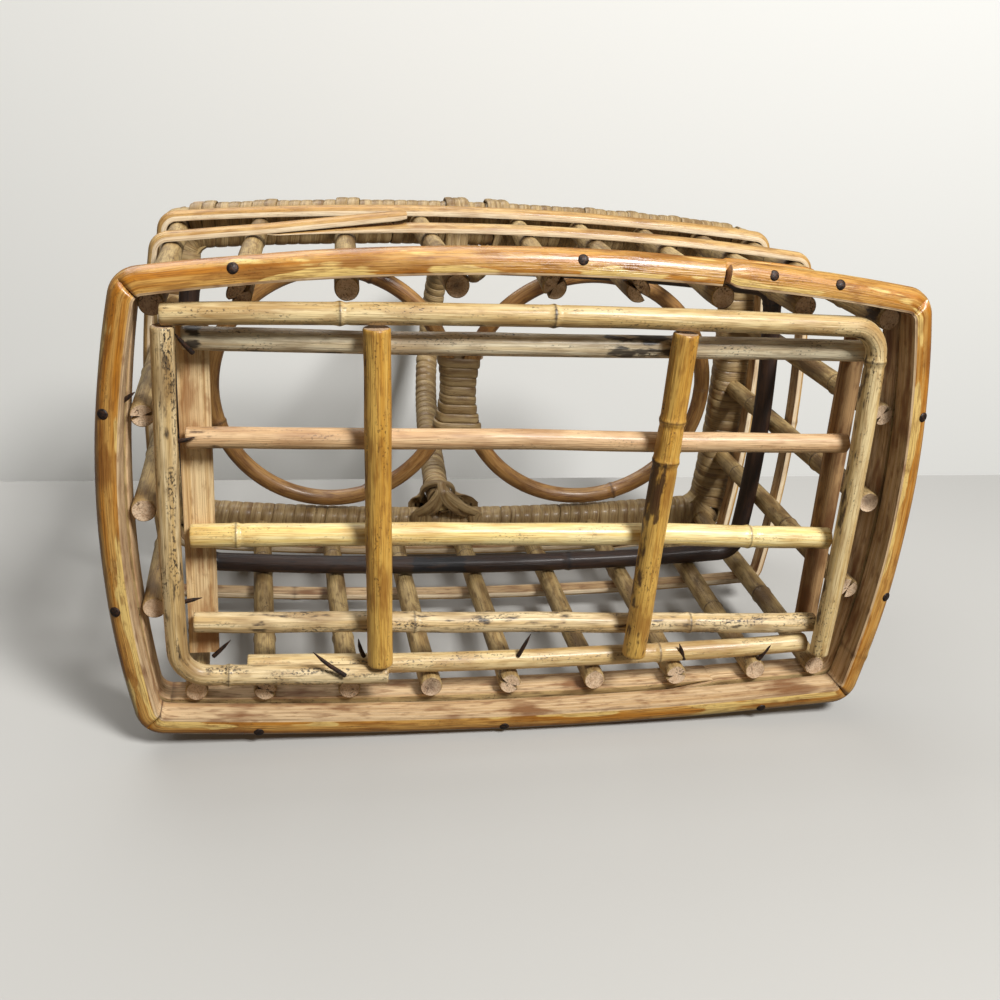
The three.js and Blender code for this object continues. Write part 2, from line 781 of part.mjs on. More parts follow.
// Place beside the leg that a strand can go under the rim without meeting an upright
function besideLeg(name, legX, direction) {
  const uprights = uprightLines[name].map((line) => uprightAt(line, rimBottom));
  const clearance = (uprightDiameter + crossLashingWidth) / 2 + fit * 2;
  const wanted = legX + direction * (handleRadius + crossLashingWidth / 2 + fit * 2);
  const blocking = uprights.find((upright) => Math.abs(upright.x - wanted) < clearance);
  return blocking ? blocking.x + direction * clearance : wanted;
}

// One turn: up the outside of the rim, over it, slantwise round the leg, and back under the rim
function crossTurn(name, legX, fromX, toX, lift) {
  const sign = facings[name].y;
  const clearance = fit + peelThickness / 2;
  const outer = rimPlan.reach(name, bindingOuterInset, fromX) + clearance;
  const inner = rimPlan.reach(name, bindingInnerInset, fromX) - clearance;
  const depth = inner - legReach(name) + handleRadius + clearance + lift;
  const halfHeight = (rimTop - rimBottom) / 2 + clearance;
  const turn = [];
  for (const [side, start] of [[-1, -Math.PI / 2], [1, 0]]) {
    for (const angle of evenShares(cornerSteps).map((share) => start + (share * Math.PI) / 2)) {
      const along = outer - crossLashingCorner + crossLashingCorner * Math.cos(angle);
      const up = side * (halfHeight - crossLashingCorner) + crossLashingCorner * Math.sin(angle);
      const point = new THREE.Vector3(fromX, sign * along, rimMiddle + up);
      turn.push({ point, outwards: new THREE.Vector3(0, sign * Math.cos(angle), Math.sin(angle)) });
    }
  }
  for (const angle of evenShares(loopSteps / 2).map((share) => share * Math.PI)) {
    const nearX = Math.cos(angle) > 0 ? fromX : toX;
    const share = Math.abs(Math.cos(angle)) ** crossLashingBulgePower;
    const bulge = Math.max(Math.sin(angle), 0) ** crossLashingBulgePower;
    const x = THREE.MathUtils.lerp(legX, nearX, share);
    const point = new THREE.Vector3(x, sign * (inner - depth * bulge), rimMiddle + halfHeight * Math.cos(angle));
    const sideways = Math.sin(angle) * Math.cos(angle) * Math.sign(fromX - toX);
    turn.push({ point, outwards: new THREE.Vector3(sideways, -sign * Math.sin(angle), Math.cos(angle)) });
  }
  return turn;
}

function addCrossLashing(name) {
  const legX = handleShift - facings[name].y * legY * Math.sin(handleTurn);
  const [left, right] = [-1, 1].map((direction) => besideLeg(name, legX, direction));
  const turns = [
    ...crossTurn(name, legX, right, left, 0),
    ...crossTurn(name, legX, left, right, crossLashingLift),
  ];
  const route = turns.map(({ point }) => point);
  reportLeastGap(`handle_lashing_${name}`, route, peelThickness);
  const strip = stripAlong(route, turns.map(({ outwards }) => outwards), crossLashingWidth);
  addPiece(`handle_lashing_${name}`, strip, peel);
}

addFoot();
addFrame();
addSlats();
addCrossSticks();
addLaths();
addUprights();
addMiddleHoops();
addRimPoles();
addRimBinding();
addRings();
addRingLashing();
addHandle();
addCrossLashing('front');
addCrossLashing('back');

export default basket;
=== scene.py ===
from bisect import bisect_left
from functools import cache
from math import atan2, copysign, cos, exp, pi, radians, sin, sqrt, tau

import bmesh
import bpy
from mathutils import Matrix, Vector, noise


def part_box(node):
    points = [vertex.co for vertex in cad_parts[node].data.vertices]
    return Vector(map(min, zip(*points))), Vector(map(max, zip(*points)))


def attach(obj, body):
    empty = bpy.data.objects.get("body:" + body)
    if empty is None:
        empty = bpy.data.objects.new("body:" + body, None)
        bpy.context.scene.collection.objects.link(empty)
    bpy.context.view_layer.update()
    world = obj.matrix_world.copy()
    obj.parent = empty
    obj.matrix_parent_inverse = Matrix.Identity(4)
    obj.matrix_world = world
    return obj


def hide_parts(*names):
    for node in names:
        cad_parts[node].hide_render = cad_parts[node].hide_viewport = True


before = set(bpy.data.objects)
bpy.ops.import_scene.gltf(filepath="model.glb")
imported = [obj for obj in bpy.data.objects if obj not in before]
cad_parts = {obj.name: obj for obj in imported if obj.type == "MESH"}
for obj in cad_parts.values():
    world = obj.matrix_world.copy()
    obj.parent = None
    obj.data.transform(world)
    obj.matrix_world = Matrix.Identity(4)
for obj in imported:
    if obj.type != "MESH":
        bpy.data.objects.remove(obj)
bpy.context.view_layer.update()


def vec(*values):
    return Vector(values)


# Lengths are in millimetres, and this turns them into metres where a mesh, lamp or camera is made
MM = 0.001
UP = vec(0, 0, 1)
LENGTHWAYS = vec(1, 0, 0)
CROSSWAYS = vec(0, 1, 0)

# Camera of the photograph, in this frame
CAMERA_AT = vec(-72.1, -125.9, -297.6)
CAMERA_RIGHT = vec(0.9821, -0.0616, -0.1781)
CAMERA_AXIS = vec(0.1882, 0.3721, 0.9089)
CAMERA_LENS = 40.79
SENSOR_WIDTH = 36

SIDES = ("back", "right", "front", "left")


def by_side(*values):
    return dict(zip(SIDES, values))


# How far the wall reaches from the middle
WALL = by_side(76, 122.6, 76, 122.6)

FIT = 0.3
UPRIGHT_RADIUS = 3.5
PAST_UPRIGHTS = UPRIGHT_RADIUS + FIT
FOOT_HEIGHT = 10
FOOT_THICKNESS = 7
FOOT_CORNER = 9
FOOT_INNER_CORNER = 3
BAND_HEIGHT = 10
BAND_INSET = 3.1
BAND_CORNER = 8
POLE_RADIUS = 3.1
POLE_LIFT = 1.8
STICK_RADIUS = 3.8
STICK_LIFT = 0.36
FRAME_CORNER = 9
FRAME_TOP = POLE_LIFT + 2 * POLE_RADIUS
UPRIGHT_FOOT = FRAME_TOP + FIT
MIDDLE_HEIGHT = 84.5
MIDDLE_HOOP = 6.6
MIDDLE_HOOP_CORNER = 7.7
MIDDLE_BAND_HEIGHT = 7
MIDDLE_BAND = 3
RIM_BOTTOM = 132.4
RIM_TOP = 143.6
RIM_MIDDLE = (RIM_BOTTOM + RIM_TOP) / 2
RIM_OUTSIDE = 7.7
RIM_INSIDE = 8.2
RIM_CORNER = 9
RIM_ROUNDING = 3.6
STRIP_BOTTOM = 123.3
STRIP_HEIGHT = 7.2
STRIP_THICKNESS = 3.5
RING_RADIUS = 3.2
RING_MEET_X = -2.3
HANDLE_HEIGHT = 270
HANDLE_RADIUS = 5.4
HANDLE_SHIFT = -3.4
HANDLE_LEAN = 6
HANDLE_TURN = radians(5.4)

# Peel that is wound round the rim, the rings and the handle
PEEL_WIDTH = 4.2
PEEL_PITCH = 4.3
PEEL_THICKNESS = 0.9
RIM_PEEL_WIDTH = 4.5
RIM_PEEL_THICKNESS = 0.75
# Radius at which a lashing turns over the rim's edges
LASHING_EDGE = 3.4


def wave(place, seed, scale=1.0):
    """Smooth noise between about -1 and 1 along one line."""
    return noise.noise(vec(place * scale, seed * 7.31, seed * 1.7))


# Plans: rectangles with bowed sides, passed against the clock seen from above

FACING = by_side(vec(0, -1), vec(1, 0), vec(0, 1), vec(-1, 0))
BEFORE = by_side("left", "back", "right", "front")
AFTER = by_side("right", "front", "left", "back")
SIDE_STEPS = by_side(110, 60, 110, 60)
CORNER_STEPS = 12


def angle_from(centre, point):
    return atan2(point.y - centre.y, point.x - centre.x)


def arc(centre, radius, start, end, shares):
    turn = (end - start + pi) % tau - pi
    angles = [start + turn * share for share in shares]
    return [centre + radius * vec(cos(a), sin(a)) for a in angles]


def even(steps):
    return [i / steps for i in range(steps + 1)]


class Plan:
    def __init__(self, reaches, bows):
        self.reaches = reaches
        self.bows = bows
        chord = {name: FACING[name] * (reaches[name] - bows[name]) for name in SIDES}
        self.sides = {}
        for name in SIDES:
            before, after = chord[BEFORE[name]], chord[AFTER[name]]
            half = (before - after).length / 2
            radius = (half**2 + bows[name] ** 2) / (2 * bows[name])
            self.sides[name] = ((before + after) / 2 + FACING[name] * (reaches[name] - radius), radius)

    def towards(self, other, share):
        def between(a, b):
            return {name: a[name] + (b[name] - a[name]) * share for name in SIDES}

        return Plan(between(self.reaches, other.reaches), between(self.bows, other.bows))

    def corner(self, name, inset):
        first, a = self.sides[name]
        second, b = self.sides[AFTER[name]]
        a, b = a - inset, b - inset
        apart = (second - first).length
        direction = (second - first) / apart
        along = (apart**2 + a**2 - b**2) / (2 * apart)
        aside = vec(-direction.y, direction.x) * sqrt(a**2 - along**2)
        middle = first + direction * along
        outwards = FACING[name] + FACING[AFTER[name]]
        return max(middle + aside, middle - aside, key=lambda point: point.dot(outwards))

    def side(self, name, inset, rounding, shares=None):
        centre, radius = self.sides[name]
        before = self.corner(BEFORE[name], inset + rounding)
        after = self.corner(name, inset + rounding)
        shares = shares or even(SIDE_STEPS[name])
        return arc(centre, radius - inset, angle_from(centre, before), angle_from(centre, after), shares)

    def rounded_corner(self, name, inset, rounding):
        centre = self.corner(name, inset + rounding)
        start = angle_from(self.sides[name][0], centre)
        end = angle_from(self.sides[AFTER[name]][0], centre)
        return arc(centre, rounding, start, end, even(CORNER_STEPS))[1:-1]

    def outline(self, inset, rounding):
        points = []
        for name in SIDES:
            points += self.side(name, inset, rounding) + self.rounded_corner(name, inset, rounding)
        return points

    def reach(self, name, inset, x):
        centre, radius = self.sides[name]
        return centre.dot(FACING[name]) + sqrt((radius - inset) ** 2 - (x - centre.x) ** 2)


def set_back(setbacks, bows):
    """Plan that lies this far inside the wall, with sides that bow out this far."""
    return Plan({name: WALL[name] - setbacks[name] for name in SIDES}, bows)


# The wall, the uprights' centres at the foot and at the rim, and the base frame
wall = Plan(WALL, by_side(9, 8, 4.5, 8))
foot_plan = set_back(by_side(11.6, 12, 13.2, 12), by_side(7, 5, 2.4, 5))
rim_plan = set_back(by_side(13.8, 9, 11.7, 11), by_side(5, 3.5, 5, 3.5))
frame_plan = set_back(by_side(19, 20.4, 20.4, 19.1), by_side(1.5, 1, 2.6, 0.8))


def plan_at(height):
    return foot_plan.towards(rim_plan, (height - UPRIGHT_FOOT) / (RIM_MIDDLE - UPRIGHT_FOOT))


# Procedural materials. "grain" holds each point's place in its own cane, in millimetres: how far along,
# and where in the cross-section. "dark" rises to 1 at knuckles, cracks, creases and edges, and along a peel's
# edges, where it is painted shade between the turns. The stain attribute is above 0 where grime is and where
# shade is painted along one side of a cane, and below 0 where the skin is worn.


class Shading:
    def __init__(self, name):
        self.material = bpy.data.materials.new(name)
        self.material.use_nodes = True
        self.tree = self.material.node_tree
        self.shader = self.tree.nodes["Principled BSDF"]

    def add(self, kind, inputs, **settings):
        node = self.tree.nodes.new("ShaderNode" + kind)
        for key, value in settings.items():
            setattr(node, key, value)
        self.feed(node, inputs)
        return node

    def feed(self, node, inputs):
        for key, value in inputs.items():
            if isinstance(value, bpy.types.NodeSocket):
                self.tree.links.new(value, node.inputs[key])
            else:
                node.inputs[key].default_value = value

    def attribute(self, name, output):
        return self.add("Attribute", {}, attribute_name=name).outputs[output]

    def noise(self, along, across, scale, detail=3.0):
        """Noise in the grain, that changes this fast along it and across it."""
        stretch = (along, across, across)
        place = self.attribute("grain", "Vector")
        stretched = self.add("VectorMath", {0: place, 1: stretch}, operation="MULTIPLY")
        inputs = {"Vector": stretched.outputs[0], "Scale": scale, "Detail": detail}
        return self.add("TexNoise", inputs).outputs["Fac"]

    def rise(self, value, start, end, low=0.0, high=1.0):
        inputs = {"Value": value, "From Min": start, "From Max": end, "To Min": low, "To Max": high}
        return self.add("MapRange", inputs, interpolation_type="SMOOTHSTEP").outputs[0]

    def math(self, operation, a, b):
        return self.add("Math", {0: a, 1: b}, operation=operation).outputs[0]

    def blend(self, amount, a, b):
        a, b = (value if isinstance(value, bpy.types.NodeSocket) else (*value, 1) for value in (a, b))
        return self.add("Mix", {0: amount, 6: a, 7: b}, data_type="RGBA").outputs[2]

    def finish(self, colour, roughness, height, strength, **inputs):
        relief = self.add("Bump", {"Height": height, "Strength": strength, "Distance": BUMP_DEPTH * MM})
        inputs |= {"Base Color": colour, "Roughness": roughness, "Normal": relief.outputs[0]}
        self.feed(self.shader, inputs)
        return self.material


# Colours of each look: its body, pale places, deep places and dark specks. Then how strongly these show,
# where that isn't as in cane_material.
SPLIT_AMOUNTS = dict(streaked=0.8, worn=0.1, deepened=0.9, specks=0.2)
LOOKS = {
    "orange_skin": (
        (0.5, 0.19, 0.015), (0.85, 0.6, 0.2), (0.22, 0.068, 0.006), (0.05, 0.018, 0.005),
        dict(streaked=0.35, worn=0.85, gloss=0.7),
    ),
    "honey": (
        (0.53, 0.28, 0.065), (0.8, 0.58, 0.27), (0.24, 0.095, 0.016), (0.05, 0.02, 0.007),
        dict(streaked=0.5, worn=0.3, gloss=0.4),
    ),
    "pale_face": (
        (0.76, 0.58, 0.36), (0.92, 0.78, 0.55), (0.48, 0.29, 0.14), (0.1, 0.05, 0.02),
        dict(streaked=0.6, deepened=0.4, specks=0.2, gloss=0.0),
    ),
    "split_face": (
        (0.58, 0.37, 0.175), (0.78, 0.58, 0.34), (0.22, 0.09, 0.03), (0.07, 0.028, 0.01),
        dict(gloss=0.0, stretch=0.015, **SPLIT_AMOUNTS),
    ),
    "lath": (
        (0.64, 0.4, 0.16), (0.88, 0.68, 0.38), (0.34, 0.155, 0.05), (0.1, 0.04, 0.015),
        dict(gloss=0.1, stretch=0.012, **SPLIT_AMOUNTS),
    ),
    # The lath look darkened, for the right lath: painted shade
    "lath_shaded": (
        (0.36, 0.19, 0.075), (0.55, 0.34, 0.15), (0.17, 0.07, 0.022), (0.06, 0.024, 0.01),
        dict(gloss=0.1, stretch=0.012, **SPLIT_AMOUNTS),
    ),
    "golden": (
        (0.6, 0.3, 0.04), (0.8, 0.52, 0.13), (0.26, 0.095, 0.01), (0.045, 0.015, 0.005),
        dict(streaked=0.6, worn=0.25, specks=0.8, gloss=0.5),
    ),
    "ring_cane": (
        (0.34, 0.16, 0.04), (0.52, 0.3, 0.1), (0.13, 0.045, 0.012), (0.03, 0.012, 0.005),
        dict(streaked=0.5, worn=0.15, deepened=0.8, gloss=0.5),
    ),
    "straw": (
        (0.63, 0.43, 0.165), (0.85, 0.69, 0.38), (0.36, 0.19, 0.055), (0.035, 0.018, 0.008),
        dict(worn=0.25, deepened=0.6, specks=0.85, gloss=0.35),
    ),
    "mouldy": (
        (0.6, 0.4, 0.16), (0.86, 0.7, 0.42), (0.28, 0.16, 0.055), (0.02, 0.013, 0.009),
        dict(worn=0.25, specks=1.0, gloss=0.25, speck_start=0.505),
    ),
    "grey_straw": (
        (0.72, 0.55, 0.31), (0.92, 0.82, 0.58), (0.36, 0.245, 0.13), (0.02, 0.014, 0.011),
        dict(streaked=0.8, deepened=0.6, specks=0.9, gloss=0.35),
    ),
    "pink_tan": (
        (0.62, 0.38, 0.18), (0.8, 0.57, 0.32), (0.36, 0.18, 0.075), (0.06, 0.027, 0.013),
        dict(streaked=0.6, deepened=0.5, specks=0.5),
    ),
    "yellow": (
        (0.86, 0.62, 0.2), (0.97, 0.84, 0.46), (0.5, 0.27, 0.06), (0.06, 0.03, 0.01),
        dict(worn=0.25, deepened=0.45, specks=0.6, gloss=0.45),
    ),
    "tan": (
        (0.38, 0.245, 0.09), (0.6, 0.44, 0.2), (0.15, 0.082, 0.028), (0.03, 0.015, 0.009),
        dict(streaked=0.6, worn=0.35, deepened=0.9, specks=0.7, gloss=0.15),
    ),
    "dark_cane": (
        (0.03, 0.012, 0.006), (0.09, 0.04, 0.018), (0.012, 0.007, 0.006), (0.004, 0.005, 0.008),
        dict(streaked=0.3, worn=0.1, deepened=0.8, specks=0.5),
    ),
    "peel": (
        (0.32, 0.205, 0.078), (0.54, 0.39, 0.19), (0.15, 0.075, 0.025), (0.02, 0.01, 0.005),
        dict(),
    ),
    "cut_end": (
        (0.68, 0.48, 0.3), (0.84, 0.66, 0.46), (0.3, 0.17, 0.09), (0.06, 0.027, 0.012),
        dict(streaked=0.5, deepened=0.6, specks=0.9, gloss=0.0, stretch=1.0, speck_start=0.52),
    ),
}
SPECK_SOFTNESS = 0.08
BUMP_STRENGTH = 0.6
BUMP_DEPTH = 0.4


@cache
def look(name):
    *colours, amounts = LOOKS[name]
    return cane_material(name, *colours, **amounts)


def cane_material(
    name, body, pale, deep, dark, streaked=0.7, worn=0.2, deepened=0.7, specks=0.4, gloss=0.3,
    stretch=0.04, speck_start=0.56,
):
    """Cane with fibres, streaks, worn and deep patches, specks, and stains and painted shade where the mesh
    has them.
    """
    shading = Shading(name)
    rise, combine = shading.rise, shading.math
    marks = shading.attribute("dark", "Fac")
    stains_and_shade = shading.attribute("stain_and_shade", "Fac")
    fibres = shading.noise(stretch, 1.0, 2.6, 5.0)
    streaks = shading.noise(stretch * 0.3, 0.4, 1.3)
    patches = shading.noise(0.045, 0.14, 1.0)
    wear = shading.noise(0.028, 0.16, 1.0, 3.5)
    grime = shading.noise(0.14, 0.5, 1.1, 8.0)
    dots = shading.noise(0.6, 1.0, 1.7, 4.0)
    dotted = shading.noise(0.05, 0.25, 1.2)
    speckled = rise(dots, speck_start, speck_start + SPECK_SOFTNESS)
    speckled = combine("MULTIPLY", speckled, rise(dotted, 0.45, 0.65))
    speckled = combine("MULTIPLY", speckled, rise(fibres, 0.1, 0.6, high=specks))
    colour = body
    for amount, over in (
        (rise(streaks, 0.35, 0.6, high=streaked), pale),
        (rise(patches, 0.48, 0.68, high=deepened), deep),
        (rise(combine("SUBTRACT", wear, stains_and_shade), 0.57, 0.6, high=worn), pale),
        (rise(grime, 0.5, 0.68, high=0.7 * deepened), deep),
        (rise(fibres, 0.46, 0.66, high=0.55), deep),
        (speckled, dark),
        # Dark where the mesh has stains, and where it paints shade along one side of a cane
        (rise(combine("ADD", stains_and_shade, grime), 0.9, 1.05, high=0.9), dark),
        (rise(marks, 0.1, 1.0, high=0.85), dark),
    ):
        colour = shading.blend(amount, colour, over)
    roughness = rise(patches, 0.3, 0.7, low=0.75 - 0.5 * gloss, high=0.6 - 0.5 * gloss)
    coat = {"Coat Weight": gloss * 0.6, "Coat Roughness": 0.2}
    return shading.finish(colour, roughness, fibres, BUMP_STRENGTH, **coat)


def nail_material():
    shading = Shading("nail_iron")
    rust = shading.noise(1.0, 1.0, 1.5, 4.0)
    colour = shading.blend(shading.rise(rust, 0.4, 0.65), (0.025, 0.02, 0.018), (0.075, 0.035, 0.02))
    return shading.finish(colour, shading.rise(rust, 0.3, 0.7, low=0.35, high=0.7), rust, 0.4, Metallic=0.6)


# Mesh building


def add_object(name, data):
    result = bpy.data.objects.new(name, data)
    bpy.context.collection.objects.link(result)
    return result


SHARP_EDGE = radians(42)
# How dark the middle of an end is, and what each millimetre of hollow adds
END_MARK = 0.08
HOLLOW_MARK = 0.45
# Stretch of grain between one seed's pattern and the next
SEED_STRETCH = 31.7


def build(name, node, rings, looks, closed=False, face_look=None, hollow=0.2, faceted=False):
    """Skin over rings of points, each given as (place, grain, dark, stain), that stands for a node. The dark
    and stain values also carry painted shade. face_look(j) picks the look of the faces after point j of each
    ring.
    The last look is that of the ends."""
    count = len(rings[0])
    points, grain, dark, stains_and_shade = map(list, zip(*(point for ring in rings for point in ring)))

    def middle(values, ring):
        return sum(values[ring * count:(ring + 1) * count], Vector()) / count

    faces, chosen = [], []
    for i in range(len(rings) if closed else len(rings) - 1):
        here, there = i * count, (i + 1) % len(rings) * count
        for j in range(count):
            k = (j + 1) % count
            faces.append((here + j, there + j, there + k, here + k))
            chosen.append(face_look(j) if face_look else 0)
    smooth = [not faceted] * len(faces)
    last = len(rings) - 1
    for end, near in () if closed else ((0, 1), (last, last - 1)):
        centre = middle(points, end)
        inwards = (middle(points, near) - centre).normalized()
        points.append(centre + inwards * hollow)
        grain.append(middle(grain, end))
        dark.append(min(1.0, END_MARK + hollow * HOLLOW_MARK))
        stains_and_shade.append(0.0)
        for j in range(count):
            faces.append((end * count + j, end * count + (j + 1) % count, len(points) - 1))
            chosen.append(len(looks) - 1)
            smooth.append(False)
    mesh = bpy.data.meshes.new(name)
    mesh.from_pydata([point * MM for point in points], [], faces)
    for each in looks:
        mesh.materials.append(each)
    mesh.polygons.foreach_set("material_index", chosen)
    mesh.polygons.foreach_set("use_smooth", smooth)
    for key, kind, field, values in (
        ("grain", "FLOAT_VECTOR", "vector", [value for place in grain for value in place]),
        ("dark", "FLOAT", "value", dark),
        ("stain_and_shade", "FLOAT", "value", stains_and_shade),
    ):
        mesh.attributes.new(key, kind, "POINT").data.foreach_set(field, values)
    work = bmesh.new()
    work.from_mesh(mesh)
    bmesh.ops.recalc_face_normals(work, faces=work.faces)
    work.to_mesh(mesh)
    work.free()
    mesh.set_sharp_from_angle(angle=SHARP_EDGE)
    piece = add_object(name, mesh)
    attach(piece, "root")
    if node:
        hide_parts(node)


def bump(distance, width):
    """Smooth bump that is 1 in its middle."""
    return exp(-((distance / width) ** 2))


def clamp(value):
    return min(1.0, max(0.0, value))


def lengths(points, closed=False):
    places = [0.0]
    for a, b in zip(points, points[1:] + (points[:1] if closed else [])):
        places.append(places[-1] + (b - a).length)
    return places


def nearest(places, shares):
    """Those of these places that are nearest to shares of the whole length."""
    return [min(places, key=lambda d: abs(d - places[-1] * share)) for share in shares]


def point_along(points, places, place):
    """Index of the stretch that a place is on, and the point there."""
    i = min(max(bisect_left(places, place) - 1, 0), len(places) - 2)
    share = (place - places[i]) / (places[i + 1] - places[i])
    return i, points[i].lerp(points[(i + 1) % len(points)], share)


# Places of extra points, from an end and from a knuckle
NEAR_END = (0.0, 0.15, 0.45)
NEAR_KNUCKLE = (-2, -1, -0.5, 0, 0.5, 1, 2)


def resample(points, step, knuckles=()):
    """Even points along a route, with a few more close to its ends and its knuckles."""
    places = lengths(points)
    total = places[-1]
    count = max(2, round(total / step))
    wanted = {total * i / count for i in range(1, count)}
    wanted |= {place for off in NEAR_END for place in (off, total - off)}
    wanted |= {total * share + off for share in knuckles for off in NEAR_KNUCKLE}
    return [point_along(points, places, place)[1] for place in sorted(wanted)]


# Round canes
CANE_SIDES = 28
CANE_STEP = 1.3
# How uneven a cane is in size and in outline, as shares of its radius
SIZE_CHANGE = 0.04
OUTLINE_CHANGE = 0.025
# A knuckle's swelling, the groove beside it and its dark line
SWELL_HEIGHT = 0.3
SWELL_LENGTH = 0.9
GROOVE_DEPTH = 0.16
GROOVE_LENGTH = 0.7
GROOVE_AWAY = 1.7
LINE_DARK = 0.75
LINE_LENGTH = 0.5
# Rounding of a cut end and its dark rim, and the length of cane over which the wobble starts
CUT_ROUNDING = 0.35
CUT_LENGTH = 0.5
CUT_DARK = 0.3
CUT_DARK_LENGTH = 0.8
CALM_LENGTH = 12
# A crack's half width as an angle, its depth as a share of the radius, and its darkness
CRACK_WIDTH = 0.11
CRACK_DEPTH = 0.85
CRACK_DARK = 1.2
STAIN_EDGE = 3


def opening(split, place, angle):
    """How far a cane is cracked open at a point of its skin."""
    if not split:
        return 0.0
    split_angle, length = split
    turn = (angle - split_angle) % pi
    turn = min(turn, pi - turn)
    return bump(turn, CRACK_WIDTH) * max(0.0, 1 - place / length) ** 0.7


def stain_and_shade_at(stains_and_shade, place, total, angle):
    most = 0.0
    for first, last, middle, half, strength in stains_and_shade:
        edge = min(place - first * total, last * total - place) / STAIN_EDGE
        turn = abs((angle - radians(middle) + pi) % tau - pi)
        reached = clamp(0.5 + edge) * clamp((radians(half) - turn) * 2 + 0.5)
        most = max(most, strength * reached)
    return most


def add_cane(
    node, route, radius, seed, skin, knuckles=(), up=UP, closed=False, split=None, stains_and_shade=(),
    wobble=0.25, hollow=0.2, name=None,
):
    """Round cane along a route, with knuckles at these shares of its length. A split is (angle, how long)
    and opens the first end. A stain, or a band of painted shade along one side, is (from, to, angle,
    half angle, strength), the first two as shares."""
    points = route if closed else resample(route, CANE_STEP, knuckles)
    places = lengths(points, closed)
    total = places[-1]
    knuckles = nearest(places, knuckles)
    rings = []
    for i, centre in enumerate(points):
        place = places[i]
        before = points[i - 1] if i or closed else centre
        after = points[(i + 1) % len(points)] if i < len(points) - 1 or closed else centre
        along = (after - before).normalized()
        side = along.cross(up).normalized()
        over = side.cross(along)
        end = total if closed else min(place, total - place)
        size = radius * (1 + SIZE_CHANGE * (0 if closed else wave(place, seed, 0.04)))
        knots = [place - at for at in knuckles]
        size += sum(
            SWELL_HEIGHT * bump(d, SWELL_LENGTH) - GROOVE_DEPTH * bump(d - GROOVE_AWAY, GROOVE_LENGTH)
            for d in knots
        )
        size -= CUT_ROUNDING * max(0.0, 1 - end / CUT_LENGTH) ** 2
        if not closed:
            drift = side * wave(place, seed + 3, 0.025) + over * wave(place, seed + 5, 0.025)
            centre = centre + wobble * min(1.0, end / CALM_LENGTH) * drift
        line = LINE_DARK * sum(bump(d, LINE_LENGTH) for d in knots)
        rim_dark = CUT_DARK * max(0.0, 1 - end / CUT_DARK_LENGTH)
        ring = []
        for j in range(CANE_SIDES):
            angle = tau * j / CANE_SIDES
            out = vec(cos(angle), sin(angle), 0)
            lumps = noise.noise(vec(out.x * 1.6, out.y * 1.6, seed * 2.3 + place * 0.05))
            opened = opening(split, place, angle)
            reach = size * (1 + OUTLINE_CHANGE * lumps) * (1 - CRACK_DEPTH * opened)
            point = centre + side * (reach * out.x) + over * (reach * out.y)
            grain = vec(place + seed * SEED_STRETCH, reach * out.x, reach * out.y)
            dark = min(1.0, line + CRACK_DARK * opened + rim_dark)
            ring.append((point, grain, dark, stain_and_shade_at(stains_and_shade, place, total, angle)))
        rings.append(ring)
    looks = [look(skin), look("cut_end")]
    build(name or f"{node}_cane", node, rings, looks, closed, hollow=hollow)


# Split pole: pairs of a share across its thickness, from the flat inside, and a share of its height
SPLIT_PROFILE = (
    (0, 0.02), (0, 0.25), (0, 0.5), (0, 0.75), (0, 0.98), (0.1, 1), (0.35, 0.99), (0.6, 0.93), (0.8, 0.82),
    (0.93, 0.67), (1, 0.5), (0.96, 0.33), (0.87, 0.18), (0.72, 0.07), (0.5, 0.015), (0.25, 0), (0.1, 0),
)
FLAT_STRIPS = (0, 1, 2, 3, 16)
PALE_STRIPS = (14, 15, 16)
HOOP_UNEVENNESS = 0.35
# Wear along a hoop's inner lower edge, and the slight stain that keeps it off the rest
EDGE_WEAR = -0.09
FACE_STAIN = 0.02


def corner_middles():
    """Places in an outline's list of points where its corners are."""
    middles, passed = [], 0
    for name in SIDES:
        passed += SIDE_STEPS[name] + 1
        middles.append(passed + CORNER_STEPS // 2 - 1)
        passed += CORNER_STEPS - 1
    return middles


